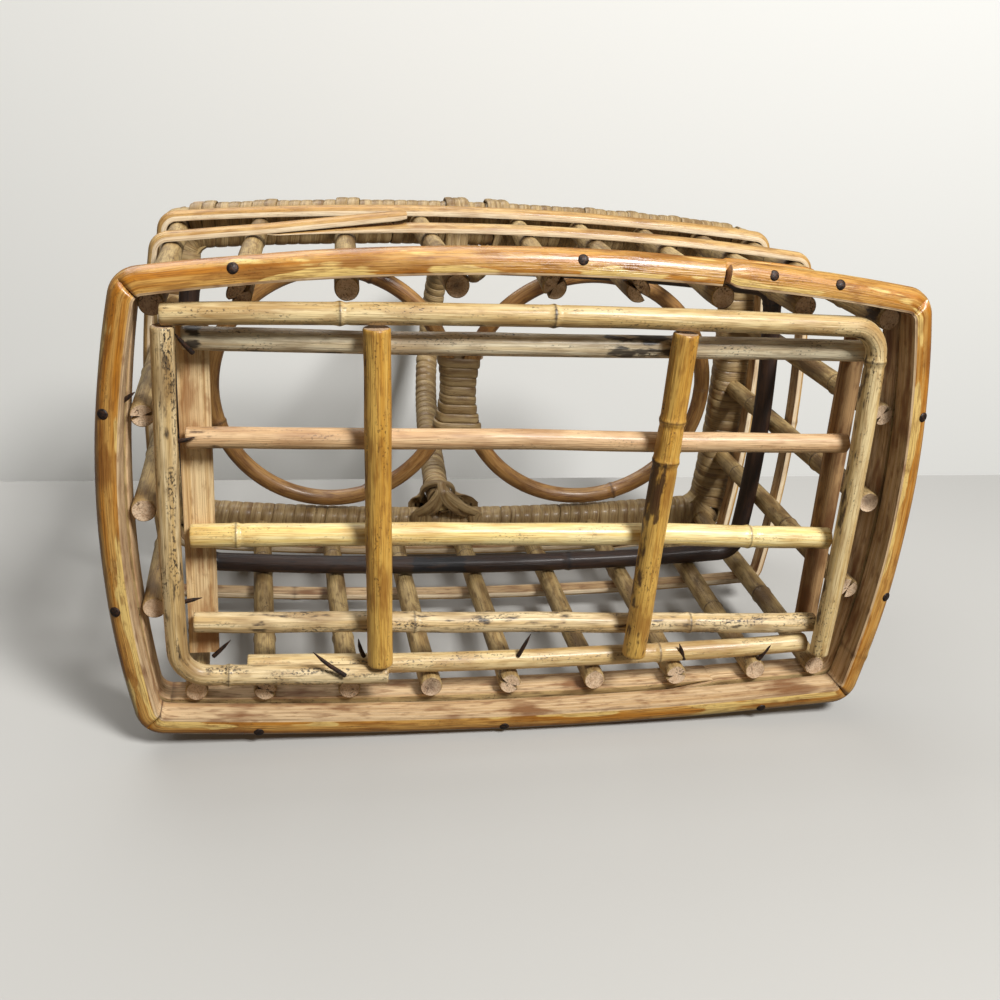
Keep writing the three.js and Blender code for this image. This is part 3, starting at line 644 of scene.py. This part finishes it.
def add_hoop(
    node, slot, inner, outer, bottom, height, seed, skin, lap_at, lap, knuckles,
    lap_below=False, loose=0.0, creased=False, pale_strips=(),
):
    """Split pole between two outlines, whose ends lap over each other. The lap is a slanting cut, or with
    lap_below a blunt end that lies below the other, or with loose a last end that springs off outwards."""
    count = len(outer)
    places = lengths(outer, closed=True)
    total = places[-1]
    start = next(i for i, place in enumerate(places) if place >= total * lap_at)
    lapping = next(i for i, place in enumerate(places) if place >= lap)
    creases = [places[i] for i in corner_middles()]
    knuckles = nearest(places, knuckles)
    rings = []
    for step in range(count + lapping):
        i = (start + step) % count
        place = places[i] + (total if start + step >= count else 0)
        begun, ending = step / lapping, (step - count) / lapping
        # What part of the thickness and of the height the pole fills here, and how far off it stands
        low, high, lowest, highest, off = 0.0, 1.0, 0.0, 1.0, 0.0
        if loose:
            past = max(0.0, ending)
            high = min(1.0, 0.12 + 0.88 * begun)
            off = 0.2 * max(0.0, 1 + 2 * min(0.0, ending)) + 0.9 * past + loose * past**2
        elif lap_below:
            highest = min(1.0, 0.52 + 0.48 * begun)
            if step >= count:
                lowest = 0.53 + 0.45 * ending
        else:
            high = min(1.0, 0.06 + 0.94 * begun)
            if step >= count:
                low = 0.02 + 0.94 * ending
        body = 1 + 0.05 * wave(place, seed, 0.03)
        squeeze = min(1.0, 0.96 + 0.4 * (body - 1))
        drop = HOOP_UNEVENNESS * wave(place, seed + 2, 0.02)
        knots = [place - at for at in knuckles]
        swell = sum(0.3 * bump(d, 1.1) for d in knots)
        line = 0.5 * sum(bump(d, 0.6) for d in knots)
        bend = max(bump(place % total - at, 0.8) for at in creases) if creased else 0.0
        thickness = (outer[i] - inner[i]).length
        blunt = 1 - 0.3 * max(0.0, 1 - min(step, count + lapping - 1 - step) / 2) ** 2
        ring = []
        for across, rise in SPLIT_PROFILE:
            share = low + (high - low) * across * min(1.0, body) + (swell / thickness if across > 0.5 else 0)
            share = 0.5 + (min(share, 1.0) - 0.5) * blunt + off
            tall = lowest + (highest - lowest) * rise
            tall = 0.5 + (tall - 0.5) * squeeze + 0.12 * bend * (across < 0.8) * (rise < 0.3)
            level = min(max(bottom + height * tall + drop * 0.5, bottom), bottom + height)
            point = inner[i].lerp(outer[i], share)
            grain = vec(place + seed * SEED_STRETCH, across * thickness, rise * height)
            seam = 0.45 if across < 0.05 and abs(rise - 0.5) > 0.45 else 0.0
            dark = min(1.0, line + seam + bend * max(0.0, 1 - across * 1.3))
            stain_and_shade = EDGE_WEAR if across < 0.45 and rise < 0.1 else FACE_STAIN
            ring.append((vec(point.x, point.y, level), grain, dark, stain_and_shade))
        rings.append(ring)

    def face_look(j):
        return 2 if j in pale_strips else 1 if j in FLAT_STRIPS else 0

    looks = [look(skin), look("split_face"), look("pale_face"), look("cut_end")]
    build(f"{node}_pole", node, rings, looks, face_look=face_look)


# Peel: pairs of a share of half its width and a share of its thickness
PEEL_PROFILE = (
    (-1, 0), (-0.98, 0.45), (-0.84, 0.78), (-0.4, 0.96), (0.1, 1), (0.6, 0.92), (0.9, 0.7), (1, 0.35), (1, 0),
)
# Darkening along both edges of a peel: painted shade in the gaps between turns
PEEL_EDGE_SHADE = 0.55


def add_peel(node, turns, seed, width=PEEL_WIDTH, thickness=PEEL_THICKNESS):
    """Flat peel along a route, given as (point, way its crowned side faces)."""
    route = [point for point, outwards in turns]
    places = lengths(route)
    rings = []
    for i, (point, outwards) in enumerate(turns):
        along = (route[min(i + 1, len(route) - 1)] - route[max(i - 1, 0)]).normalized()
        across = along.cross(outwards).normalized()
        over = across.cross(along)
        place = places[i]
        wide = width / 2 * (1 + 0.08 * wave(place, seed, 0.05))
        rings.append([
            (
                point + across * (wide * a) + over * (thickness * b),
                vec(place + seed * SEED_STRETCH, wide * a, 0),
                PEEL_EDGE_SHADE if abs(a) > 0.9 else 0.0,
                0.0,
            )
            for a, b in PEEL_PROFILE
        ])
    build(f"{node}_peel", node, rings, [look("peel"), look("cut_end")], hollow=0.0)


# Pieces

ROUTE_STEPS = 40


def corners_of(node):
    return [Vector(value / MM for value in corner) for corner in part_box(node)]


def ends_of(node, axis):
    """Middles of both ends of a straight cane that runs mostly along one axis."""
    points = [vertex.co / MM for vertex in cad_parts[node].data.vertices]
    ends = []
    for limit, sign in ((min(p[axis] for p in points), 1), (max(p[axis] for p in points), -1)):
        near = [p for p in points if sign * (p[axis] - limit) < 1]
        low = Vector(min(p[k] for p in near) for k in range(3))
        high = Vector(max(p[k] for p in near) for k in range(3))
        ends.append((low + high) / 2)
    return ends


def bowed(start, end, bow=Vector()):
    return [start.lerp(end, t) + bow * (4 * t * (1 - t)) for t in even(ROUTE_STEPS)]


def flat_route(points, height):
    return [vec(point.x, point.y, height) for point in points]


def keep_solid(node):
    """Leave a solid in place and give it the look of cane."""
    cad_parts[node].data.materials.clear()
    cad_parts[node].data.materials.append(look("tan"))


def add_foot():
    inner = wall.outline(FOOT_THICKNESS, FOOT_INNER_CORNER)
    outer = wall.outline(0, FOOT_CORNER)
    add_hoop(
        "foot_hoop", "orange_pole", inner, outer, 0, FOOT_HEIGHT, 1, "orange_skin", 0.217, 30,
        (0.12, 0.17, 0.47), lap_below=True, creased=True,
    )
    bottom = FOOT_HEIGHT + FIT
    inner = plan_at(bottom + BAND_HEIGHT).outline(-PAST_UPRIGHTS, PAST_UPRIGHTS)
    outer = wall.outline(BAND_INSET, BAND_CORNER)
    add_hoop("base_band", "tan_cane", inner, outer, bottom, BAND_HEIGHT, 2, "tan", 0.55, 24, (0.3, 0.8))


def frame_length(name):
    first, last = frame_plan.side(name, 0, 0, [0, 1])
    return (first - last).length


def frame_stretch(name, start, end):
    """Part of one side of the base frame, from and to these distances from its corners."""
    straight = frame_length(name) - 2 * FRAME_CORNER
    low = (start - FRAME_CORNER) / straight
    high = 1 - (end - FRAME_CORNER) / straight
    shares = [low + (high - low) * share for share in even(ROUTE_STEPS)]
    return frame_plan.side(name, 0, FRAME_CORNER, shares)


# Dark band along the edge of a base cane that looks to the front, for canes laid to the right and to the
# left:
# partly grime and partly painted shade on the side away from the key light. Then a dark spot on the back cane
FRONT_GRIME_AND_SHADE = (0, 1, 185, 48, 0.38)
GRIME_AND_SHADE_LEFTWARDS = (0, 1, 5, 48, 0.38)
SMUDGE = (0.335, 0.345, 0, 180, 0.5)
# Length of the bent stub along the front, and how far the front cane stays from both corners
STUB_LENGTH = 62
FRONT_GAPS = (3, 20)
# Radius, look, knuckles, bow and stains of each slat, from the back
SLATS = (
    (3.3, "grey_straw", (0.7,), 0.3, (0.585, 0.72, 0, 180, 0.5), (0, 0.03, 0, 180, 0.5)),
    (3.1, "pink_tan", (), 0, (0, 0.05, 0, 180, 0.38)),
    (3.5, "yellow", (0.065, 0.86), -1.2),
    (3.2, "mouldy", (0.33, 0.78), 0, (0.05, 0.95, 0, 180, 0.34)),
)
# Knuckles and stains of each cross stick. The left stick's one band is painted shade along its left edge,
# the side away from the key light
STICKS = {
    "left": ((), (0, 1, 185, 40, 0.36)),
    "right": ((0.25, 0.37), (0.36, 0.56, 200, 70, 0.6), (0.54, 0.84, 200, 42, 0.5), (0.88, 1, 0, 180, 0.42)),
}


def add_base():
    height = POLE_LIFT + POLE_RADIUS
    back_right = frame_stretch("back", 0, FRAME_CORNER) + frame_plan.rounded_corner("back", 0, FRAME_CORNER)
    back_right += frame_stretch("right", FRAME_CORNER, 0)
    left = frame_stretch("front", frame_length("front") - STUB_LENGTH, FRAME_CORNER)
    left += frame_plan.rounded_corner("front", 0, FRAME_CORNER)
    left += frame_stretch("left", FRAME_CORNER, POLE_RADIUS + 2 * FIT)
    front = frame_stretch("front", *FRONT_GAPS)
    for place, route, level, seed, skin, knuckles, *stains_and_shade in (
        ("back_right", back_right, height, 11, "straw", (0.15, 0.34, 0.68), FRONT_GRIME_AND_SHADE, SMUDGE),
        ("left", left, height, 12, "mouldy", (0.29,), GRIME_AND_SHADE_LEFTWARDS, (0.3, 0.97, 0, 180, 0.33)),
        ("front", front, UPRIGHT_FOOT + POLE_RADIUS, 13, "straw", (0.28, 0.77), GRIME_AND_SHADE_LEFTWARDS),
    ):
        add_cane(
            f"base_pole_{place}", flat_route(route, level), POLE_RADIUS, seed, skin, knuckles,
            stains_and_shade=stains_and_shade, name=f"base_{place}_cane",
        )
    for i, (radius, skin, knuckles, bow, *stains_and_shade) in enumerate(SLATS):
        node = f"base_slat_{i + 1}"
        route = bowed(*ends_of(node, 0), vec(0, bow, 0))
        # Each slat also gets the band of grime and painted shade along its front edge
        stains_and_shade = (FRONT_GRIME_AND_SHADE, *stains_and_shade)
        add_cane(node, route, radius, 21 + i, skin, knuckles, stains_and_shade=stains_and_shade, wobble=0.5)
    for i, (side, (knuckles, *stains_and_shade)) in enumerate(STICKS.items()):
        node = f"cross_stick_{side}"
        level = STICK_RADIUS + STICK_LIFT
        route = bowed(*(vec(end.x, end.y, level) for end in ends_of(node, 1)))
        add_cane(node, route, STICK_RADIUS, 31 + i, "golden", knuckles, stains_and_shade=stains_and_shade)


# Lath: pairs of a share across and a share of its height, flat underneath and with long facets above
LATH_PROFILE = (
    (0.02, 0.0), (0.98, 0.0), (1, 0.3), (0.86, 0.72), (0.62, 0.97), (0.38, 1), (0.15, 0.8), (0, 0.35),
)
LATH_STEP = 1.5
LATH_EDGE_DARK = 0.32


def add_laths():
    # The right lath takes the darkened lath look: painted shade
    for side, seed, skin in (("left", 41, "lath"), ("right", 42, "lath_shaded")):
        node = f"base_lath_{side}"
        low, high = corners_of(node)
        rings = []
        steps = round((high.y - low.y) / LATH_STEP)
        for i in range(steps + 1):
            y = low.y + (high.y - low.y) * i / steps
            ring = []
            for k, (across, rise) in enumerate(LATH_PROFILE):
                x = low.x + (high.x - low.x) * (across + 0.02 * wave(y, seed + k, 0.04))
                x = min(max(x, low.x), high.x)
                z = low.z + (high.z - low.z) * clamp(rise * (1 + 0.06 * wave(y, seed + 2 * k, 0.05)))
                grain = vec(y + seed * SEED_STRETCH, x - low.x, (z - low.z) * 2 + k * 1.3)
                ring.append((vec(x, y, z), grain, LATH_EDGE_DARK if k % 2 else 0.0, 0.0))
            rings.append(ring)
        build(f"{node}_strip", node, rings, [look(skin), look("cut_end")], faceted=True)


# Uprights whose foot is cracked, is hollow where the pith was, or has rotted
CRACKED = ("back_2", "back_5", "back_6", "front_3", "front_5", "front_8", "left_3", "right_1", "right_3")
PITHLESS = ("back_4", "front_6", "right_2")
ROTTEN = "back_9"
CRACK_LENGTH = 9


def add_uprights():
    names = [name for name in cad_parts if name.startswith("upright_")]
    for i, node in enumerate(sorted(names)):
        place = node[len("upright_"):]
        seed = 51 + i
        split = (wave(seed, 3, 3.1) * 3, CRACK_LENGTH + 3 * wave(seed, 4, 2.7)) if place in CRACKED else None
        knuckles = (0.3 + 0.2 * wave(seed, 1, 1.3), 0.72 + 0.15 * wave(seed, 2, 1.7))
        route = bowed(*ends_of(node, 2), vec(0.8 * wave(seed, 5, 2.1), 0, 0))
        add_cane(
            node, route, UPRIGHT_RADIUS * 0.98, seed, "tan", knuckles, CROSSWAYS, split=split,
            stains_and_shade=((0, 0.07, 0, 180, 0.55),) if place == ROTTEN else (),
            hollow=1.6 if place in PITHLESS else 0.3, wobble=0.3,
        )


def outside_uprights(plan, thickness):
    """Inner and outer outline of a pole that lies against the uprights."""
    return [plan.outline(-PAST_UPRIGHTS - out, PAST_UPRIGHTS + out) for out in (0, thickness)]


def add_middle():
    plan = plan_at(MIDDLE_HEIGHT)
    route = plan.outline(PAST_UPRIGHTS + MIDDLE_HOOP / 2, MIDDLE_HOOP_CORNER)
    add_cane(
        "middle_hoop", flat_route(route, MIDDLE_HEIGHT), MIDDLE_HOOP / 2, 81, "dark_cane",
        (0.12, 0.33, 0.6, 0.9), closed=True, stains_and_shade=((0.665, 0.7, 0, 180, 0.6),),
    )
    bottom = MIDDLE_HEIGHT - MIDDLE_BAND_HEIGHT / 2
    add_hoop(
        "middle_band", "honey_cane", *outside_uprights(plan, MIDDLE_BAND), bottom, MIDDLE_BAND_HEIGHT, 82,
        "honey", 0.044, 46, (0.4, 0.75), loose=0.35, pale_strips=PALE_STRIPS,
    )


def rounded_box(half_width, half_height, rounding, steps):
    """Points round a rounded rectangle, each with the way it faces."""
    result = []
    for quarter, (sign_x, sign_y) in enumerate(((1, 1), (-1, 1), (-1, -1), (1, -1))):
        centre = vec(sign_x * (half_width - rounding), sign_y * (half_height - rounding))
        for share in even(steps):
            angle = (quarter + share) * pi / 2
            facing = vec(cos(angle), sin(angle))
            result.append((centre + rounding * facing, facing))
    return result


def add_rim():
    keep_solid("rim_inner_pole")
    keep_solid("rim_outer_pole")
    plan = plan_at(STRIP_BOTTOM + STRIP_HEIGHT / 2)
    add_hoop(
        "rim_strip", "straw_pole", *outside_uprights(plan, STRIP_THICKNESS), STRIP_BOTTOM, STRIP_HEIGHT, 91,
        "honey", 0.52, 34, (0.3, 0.7), pale_strips=PALE_STRIPS,
    )
    add_rim_binding()


# Bumps in the rim's binding where a new strip starts: place along X on the back, and how high
RIM_BUMPS = ((-98, 0.9), (-76, 0.7), (-47, 1.1), (46, 0.5), (63, 0.6), (80, 0.5))
RIM_BUMP_LENGTH = 4


def add_rim_binding():
    middle = (RIM_INSIDE - RIM_OUTSIDE) / 2
    half_width = (RIM_INSIDE + RIM_OUTSIDE) / 2 - RIM_PEEL_THICKNESS
    half_height = (RIM_TOP - RIM_BOTTOM) / 2 - RIM_PEEL_THICKNESS
    section = rounded_box(half_width, half_height, RIM_ROUNDING, 5)
    line = rim_plan.outline(middle, RIM_CORNER)
    places = lengths(line, closed=True)
    total = places[-1]
    steps = round(total / PEEL_PITCH) * len(section)
    turns = []
    for step in range(steps):
        place = total * step / steps
        place += 0.5 * wave(place, 92, 0.2)
        place = min(max(place, 0), total * 0.99999)
        i, centre = point_along(line, places, place)
        along = (line[(i + 1) % len(line)] - line[i]).normalized()
        out = vec(along.y, -along.x)
        (across, rise), facing = section[step % len(section)]
        lift = 0.12 * wave(step // len(section), 93, 0.9)
        if centre.y < 0 and facing.x > -0.2:
            lift += sum(high * bump(centre.x - x, RIM_BUMP_LENGTH) for x, high in RIM_BUMPS)
        point = centre + out * (across + facing.x * lift)
        point = vec(point.x, point.y, RIM_MIDDLE + (rise + facing.y * lift))
        turns.append((point, vec(out.x * facing.x, out.y * facing.x, facing.y)))
    add_peel("rim_binding", turns, 94, RIM_PEEL_WIDTH, RIM_PEEL_THICKNESS)


RING_STEPS = 220
TIE_TURNS = 8
TIE_STEPS = 48
TIE_WIDTH = 3.9


def ring_line(side):
    """Centre of a bottle ring, and the half width and half depth of its centre line."""
    low, high = corners_of(f"bottle_ring_{side}")
    half = (high - low) / 2
    return (low + high) / 2, half.x - RING_RADIUS, half.y - RING_RADIUS


def add_rings():
    for side, seed in (("left", 101), ("right", 102)):
        node = f"bottle_ring_{side}"
        centre, half_width, half_depth = ring_line(side)
        route = []
        for step in range(RING_STEPS):
            angle = tau * step / RING_STEPS
            x = centre.x + half_width * cos(angle)
            y = centre.y + half_depth * sin(angle)
            route.append(vec(x, y, centre.z))
        add_cane(node, route, RING_RADIUS, seed, "ring_cane", (0.2, 0.45, 0.8), closed=True)
    add_ring_lashing()


def add_ring_lashing():
    low, high = corners_of("ring_lashing")
    middle_y = (low.y + high.y) / 2
    pitch = (high.y - low.y - TIE_WIDTH) / TIE_TURNS
    rings = {side: ring_line(side) for side in ("left", "right")}
    turns = []
    for i in range(TIE_TURNS * TIE_STEPS + 1):
        turn = i / TIE_STEPS
        angle = tau * i / TIE_STEPS
        across, up = cos(angle), sin(angle)
        centre, half_width, half_depth = rings["left" if across < 0 else "right"]
        y = middle_y + pitch * (turn - TIE_TURNS / 2)
        off = abs(y - centre.y) / half_depth
        spread = half_width * (1 - sqrt(1 - off**2))
        straight = copysign(min(1, abs(across) * 4), across) * (RING_RADIUS + spread)
        lift = RING_RADIUS + 0.1 + 0.15 * wave(turn, 111, 1.3)
        point = vec(RING_MEET_X + straight + lift * across, y, RIM_MIDDLE + lift * up)
        turns.append((point, vec(across, 0, up)))
    add_peel("ring_lashing", turns, 112, TIE_WIDTH)


def signed_power(value, power):
    return copysign(abs(value) ** power, value)


def leg_reach(name):
    return rim_plan.reach(name, RIM_INSIDE, HANDLE_SHIFT) - 2 * FIT - HANDLE_RADIUS


LEG_Y = (leg_reach("front") + leg_reach("back")) / 2
HANDLE_Y = (leg_reach("front") - leg_reach("back")) / 2
LEG_FOOT = RIM_BOTTOM - 0.4
LEG_TOP = RIM_TOP + 8
LEG_STEPS = 12
ARCH_STEPS = 160
# Powers that fill out the arch and its lean; 1 gives half an ellipse
ARCH_POWER = 0.8
LEAN_POWER = 0.6
BINDING_STEPS = 22


def handle_line():
    """Centre line of the handle: straight legs under a full arch that leans to one side."""
    rise = HANDLE_HEIGHT - HANDLE_RADIUS - LEG_TOP
    points = [vec(0, LEG_Y, LEG_FOOT + (LEG_TOP - LEG_FOOT) * t) for t in even(LEG_STEPS)[:-1]]
    for t in even(ARCH_STEPS):
        angle = pi * t
        x = HANDLE_LEAN * signed_power(sin(angle), LEAN_POWER)
        y = LEG_Y * signed_power(cos(angle), ARCH_POWER)
        points.append(vec(x, y, LEG_TOP + rise * signed_power(sin(angle), ARCH_POWER)))
    points += [vec(0, -LEG_Y, LEG_TOP - (LEG_TOP - LEG_FOOT) * t) for t in even(LEG_STEPS)[1:]]
    place = Matrix.Translation((HANDLE_SHIFT, HANDLE_Y, 0)) @ Matrix.Rotation(HANDLE_TURN, 4, "Z")
    return [place @ point for point in points]


def add_handle():
    keep_solid("handle_pole")
    line = resample(handle_line(), 0.6)
    places = lengths(line)
    total = places[-1]
    steps = round(total / PEEL_PITCH) * BINDING_STEPS
    turns = []
    for step in range(steps + 1):
        i, centre = point_along(line, places, total * step / steps)
        along = (line[min(i + 2, len(line) - 1)] - line[max(i - 1, 0)]).normalized()
        side = along.cross(LENGTHWAYS).normalized()
        over = side.cross(along)
        angle = tau * step / BINDING_STEPS
        out = side * cos(angle) + over * sin(angle)
        size = HANDLE_RADIUS - PEEL_THICKNESS - 0.15 + 0.15 * wave(step / BINDING_STEPS, 121, 0.8)
        turns.append((centre + out * size, out))
    add_peel("handle_binding", turns, 122)
    for side in ("front", "back"):
        add_cross_lashing(side)


LASHING_WIDTH = 3.6
LASHING_GAP = 0.15
# How far the outermost strands' middles lie inside the solid's box
LASHING_MARGIN = 1.7
# Pairs of crossing turns: how far outside the first pair at the rim, how far over it, and how their ends bend
LASHING_PAIRS = ((0, 0, 1.0), (2.8, 0.4, 1.6), (-2.2, 0.8, 2.4))
SECOND_TURN_LIFT = 0.4
# Share of the way down at which a strand meets the leg, and its heights at the leg's foot and under it
LEG_MET = 0.3
STRAND_LOW = RIM_BOTTOM + 1.2
STRAND_UNDER = RIM_BOTTOM - 1.9


def cross_turn(name, leg_x, start_x, end_x, lift, swing):
    """One turn: up outside the rim, over it, down round the leg, under its foot and back to the rim."""
    sign = FACING[name].y
    aside = copysign(1, start_x - end_x)
    outer = rim_plan.reach(name, -RIM_OUTSIDE, start_x) + LASHING_GAP + lift * 0.3
    inner = rim_plan.reach(name, RIM_INSIDE, start_x) - LASHING_GAP
    middle = inner + LASHING_GAP - leg_reach(name)
    around = HANDLE_RADIUS + 0.2 + lift
    half = (RIM_TOP - RIM_BOTTOM) / 2 + 0.2
    under = STRAND_UNDER - 0.5 * lift
    turn = []
    for level in (-1, 1):
        for share in even(8):
            angle = (min(level, 0) + share) * pi / 2
            out, up = cos(angle), sin(angle)
            y = sign * (outer - LASHING_EDGE + LASHING_EDGE * out)
            z = RIM_MIDDLE + level * (half - LASHING_EDGE) + LASHING_EDGE * up
            turn.append((vec(start_x, y, z), vec(0, sign * out, up)))
    for share in even(20):
        z = RIM_MIDDLE + half + (STRAND_LOW - RIM_MIDDLE - half) * share**1.2
        if share < LEG_MET:
            along = share / LEG_MET
            x = start_x + (leg_x + aside * around - start_x) * along
            y = inner - middle * along
            facing = vec(aside * along, 0, 1 - along)
        else:
            angle = (share - LEG_MET) / 0.7 * pi / 2
            x = leg_x + aside * around * cos(angle)
            y = inner - middle - around * sin(angle)
            facing = vec(aside * cos(angle), -sign * sin(angle), 0)
        turn.append((vec(x, sign * y, z), facing))
    for share in even(20)[1:]:
        bend = min(1, share / 0.2)
        rise = max(0, share - 0.75) / 0.25
        x = leg_x + (end_x - leg_x) * share**swing
        y = inner - (middle + around) * (1 - share)
        z = STRAND_LOW + (under - STRAND_LOW) * bend**0.6 + (RIM_MIDDLE - half - under) * rise
        turn.append((vec(x, sign * y, z), vec(0, -sign * (1 - bend), -bend)))
    return turn


def add_cross_lashing(name):
    node = f"handle_lashing_{name}"
    low, high = corners_of(node)
    leg_x = HANDLE_SHIFT - FACING[name].y * LEG_Y * sin(HANDLE_TURN)
    turns = []
    for spread, lift, swing in LASHING_PAIRS:
        left = low.x + LASHING_MARGIN - spread
        right = high.x - LASHING_MARGIN + spread
        turns += cross_turn(name, leg_x, right, left, lift, swing)
        turns += cross_turn(name, leg_x, left, right, lift + SECOND_TURN_LIFT, swing)
    add_peel(node, turns, 131, LASHING_WIDTH)


# Nail heads on the foot hoop, and the points of long nails that come through inside the base
HOOP_NAILS = (
    ("back", -83.6), ("back", 8.6), ("back", 64.6), ("back", 83.2), ("right", -28.6), ("right", 32.4),
    ("front", 82.8), ("front", -4.6), ("front", -80.5), ("left", 29.5), ("left", -30),
)
NAIL_ACROSS = 4.6
NAIL_LEVEL = 0.75
NAIL_TILT = 0.42
NAIL_HEAD = 1.5
NAIL_PROUD = 0.45
# Shares of the way over a head, and how deep its edge goes on into the cane
NAIL_RINGS = ((0.0, 0), (0.5, 0), (0.85, 0), (1.0, 0), (1.0, 2))
# Foot, bend and point of each
NAIL_POINTS = (
    ((-55.8, 51.7, 1), (-60, 48.4, 0.9), (-63.8, 44.5, 1)),
    ((-92.3, 48.6, 9), (-90.5, 46.6, 8.6), (-87.8, 43.6, 8.4)),
    ((-96.2, -45, 8.5), (-98.1, -47.4, 7.5), (-99.8, -49.8, 7)),
    ((-101.4, -19.2, 8.5), (-99, -19.5, 7.6), (-95.8, -20.6, 7.6)),
    ((-101.1, 30.8, 9), (-99.1, 30.2, 8.6), (-95.6, 29.3, 8.5)),
    ((-114.2, -30.8, 8), (-112.8, -31.9, 7.4), (-110.8, -33.6, 7)),
    ((1.1, 52, 9), (2.2, 49.2, 8.6), (4.1, 45, 8.6)),
    ((-48.4, 50.4, 9), (-49.3, 48.2, 8.7), (-49.9, 44.8, 8.7)),
    ((55.9, 55.6, 9), (54.8, 53.1, 8.5), (53.7, 50.4, 8.4)),
    ((83, 56.8, 9), (84.2, 54.3, 8.6), (85.6, 52.2, 8.4)),
)
NAIL_RADIUS = 0.7
NAIL_TAPER = (1, 1, 0.95, 0.8, 0.15)


def circle(sides):
    return [(cos(angle), sin(angle)) for angle in (tau * j / sides for j in range(sides))]


def add_nails():
    iron = nail_material()
    for i, (side, place) in enumerate(HOOP_NAILS):
        line = wall.side(side, FOOT_THICKNESS - NAIL_ACROSS, 0)
        run = 0 if side in ("back", "front") else 1
        spot = min(line, key=lambda point: abs(point[run] - place))
        facing = FACING[side]
        axis = (vec(0, 0, -1) + vec(facing.x, facing.y, 0) * NAIL_TILT).normalized()
        centre = vec(spot.x, spot.y, NAIL_LEVEL)
        first = axis.cross(vec(facing.y, facing.x, 0)).normalized()
        second = axis.cross(first)
        rings = []
        for share, sunk in NAIL_RINGS:
            size = NAIL_HEAD * sin(share * pi / 2) + 0.05
            proud = NAIL_PROUD * cos(share * pi / 2) - sunk
            ring = []
            for x, y in circle(16):
                point = centre + axis * proud + (first * x + second * y) * size
                point = vec(point.x, point.y, max(point.z, 0.03 + 0.02 * share))
                ring.append((point, point - centre + vec(0, 0, i * 7), 0.0, 0.0))
            rings.append(ring)
        build(f"nail_head_{i + 1}", None, rings, [iron], hollow=0.0)
    for i, nail in enumerate(NAIL_POINTS):
        foot, bend, point = (Vector(place) for place in nail)
        route = [foot + (foot - bend) * 0.4, foot, foot.lerp(bend, 0.7), bend.lerp(point, 0.3), point]
        rings = []
        for step, place in enumerate(route):
            along = (route[min(step + 1, 4)] - route[max(step - 1, 0)]).normalized()
            side = along.cross(UP).normalized()
            over = side.cross(along)
            size = NAIL_RADIUS * NAIL_TAPER[step]
            rings.append([
                (place + side * (size * x) + over * (size * y), vec(step * 2, size * x, size * y), 0.0, 0.0)
                for x, y in circle(10)
            ])
        build(f"nail_point_{i + 1}", None, rings, [iron], hollow=0.0)


# Camera, light and surroundings


def add_camera():
    axis = CAMERA_AXIS.normalized()
    up = CAMERA_RIGHT.cross(axis).normalized()
    right = axis.cross(up)
    data = bpy.data.cameras.new("camera")
    data.sensor_width = SENSOR_WIDTH
    data.lens = CAMERA_LENS
    data.clip_start = 0.01
    camera = add_object("camera", data)
    columns = Matrix((right, up, -axis)).transposed().to_4x4()
    camera.matrix_world = Matrix.Translation(CAMERA_AT * MM) @ columns
    bpy.context.scene.camera = camera


def stage_material(name, colour):
    """Plain surface that is seen from its front only."""
    shading = Shading(name)
    front = shading.add("BsdfDiffuse", {"Color": (*colour, 1)}).outputs[0]
    behind = shading.add("BsdfTransparent", {}).outputs[0]
    turned = shading.add("NewGeometry", {}).outputs["Backfacing"]
    mix = shading.add("MixShader", {0: turned, 1: front, 2: behind})
    shading.feed(shading.tree.nodes["Material Output"], {"Surface": mix.outputs[0]})
    shading.tree.nodes.remove(shading.shader)
    return shading.material


# How far the stage reaches, and where the floor, the bench, the bench's far edge and the wall are
FAR = 3000
FLOOR_LEVEL = -0.6
BENCH_Y = 76.6
BENCH_EDGE = 226
WALL_LEVEL = 290


def add_stage():
    """A floor under the basket, and the bench that it lies on in the photograph, with the wall behind it."""
    for name, first, second, colour in (
        ("floor", (-FAR, FLOOR_LEVEL), (FAR, FLOOR_LEVEL), (0.8, 0.8, 0.79)),
        ("bench", (BENCH_Y, -FAR), (BENCH_Y, BENCH_EDGE), (0.48, 0.47, 0.445)),
        ("wall", (FAR, WALL_LEVEL), (-FAR, WALL_LEVEL), (0.86, 0.855, 0.82)),
    ):
        corners = [(-FAR, *first), (FAR, *first), (FAR, *second), (-FAR, *second)]
        mesh = bpy.data.meshes.new(name)
        mesh.from_pydata([Vector(corner) * MM for corner in corners], [], [(0, 1, 2, 3)])
        mesh.materials.append(stage_material(name, colour))
        plane = add_object(name, mesh)
        plane.visible_diffuse = plane.visible_glossy = plane.visible_shadow = False


WORLD_COLOUR = (0.95, 0.92, 0.85, 1)
WORLD_STRENGTH = 0.16
LIT_POINT = vec(0, 0, 60)


def add_lights():
    world = bpy.data.worlds.new("world")
    bpy.context.scene.world = world
    world.use_nodes = True
    background = world.node_tree.nodes["Background"]
    background.inputs["Color"].default_value = WORLD_COLOUR
    background.inputs["Strength"].default_value = WORLD_STRENGTH
    for name, place, size, power in (
        ("key", (400, -900, -720), 320, 20.5),
        ("top", (-200, -700, 450), 700, 4.5),
    ):
        data = bpy.data.lights.new(name, "AREA")
        data.size = size * MM
        data.energy = power
        lamp = add_object(name, data)
        lamp.location = Vector(place) * MM
        lamp.rotation_mode = "QUATERNION"
        lamp.rotation_quaternion = (LIT_POINT - Vector(place)).to_track_quat("-Z", "Y")


add_camera()
add_stage()
add_lights()
add_foot()
add_base()
add_laths()
add_uprights()
add_middle()
add_rim()
add_rings()
add_handle()
add_nails()

bpy.context.scene.view_settings.view_transform = "Standard"
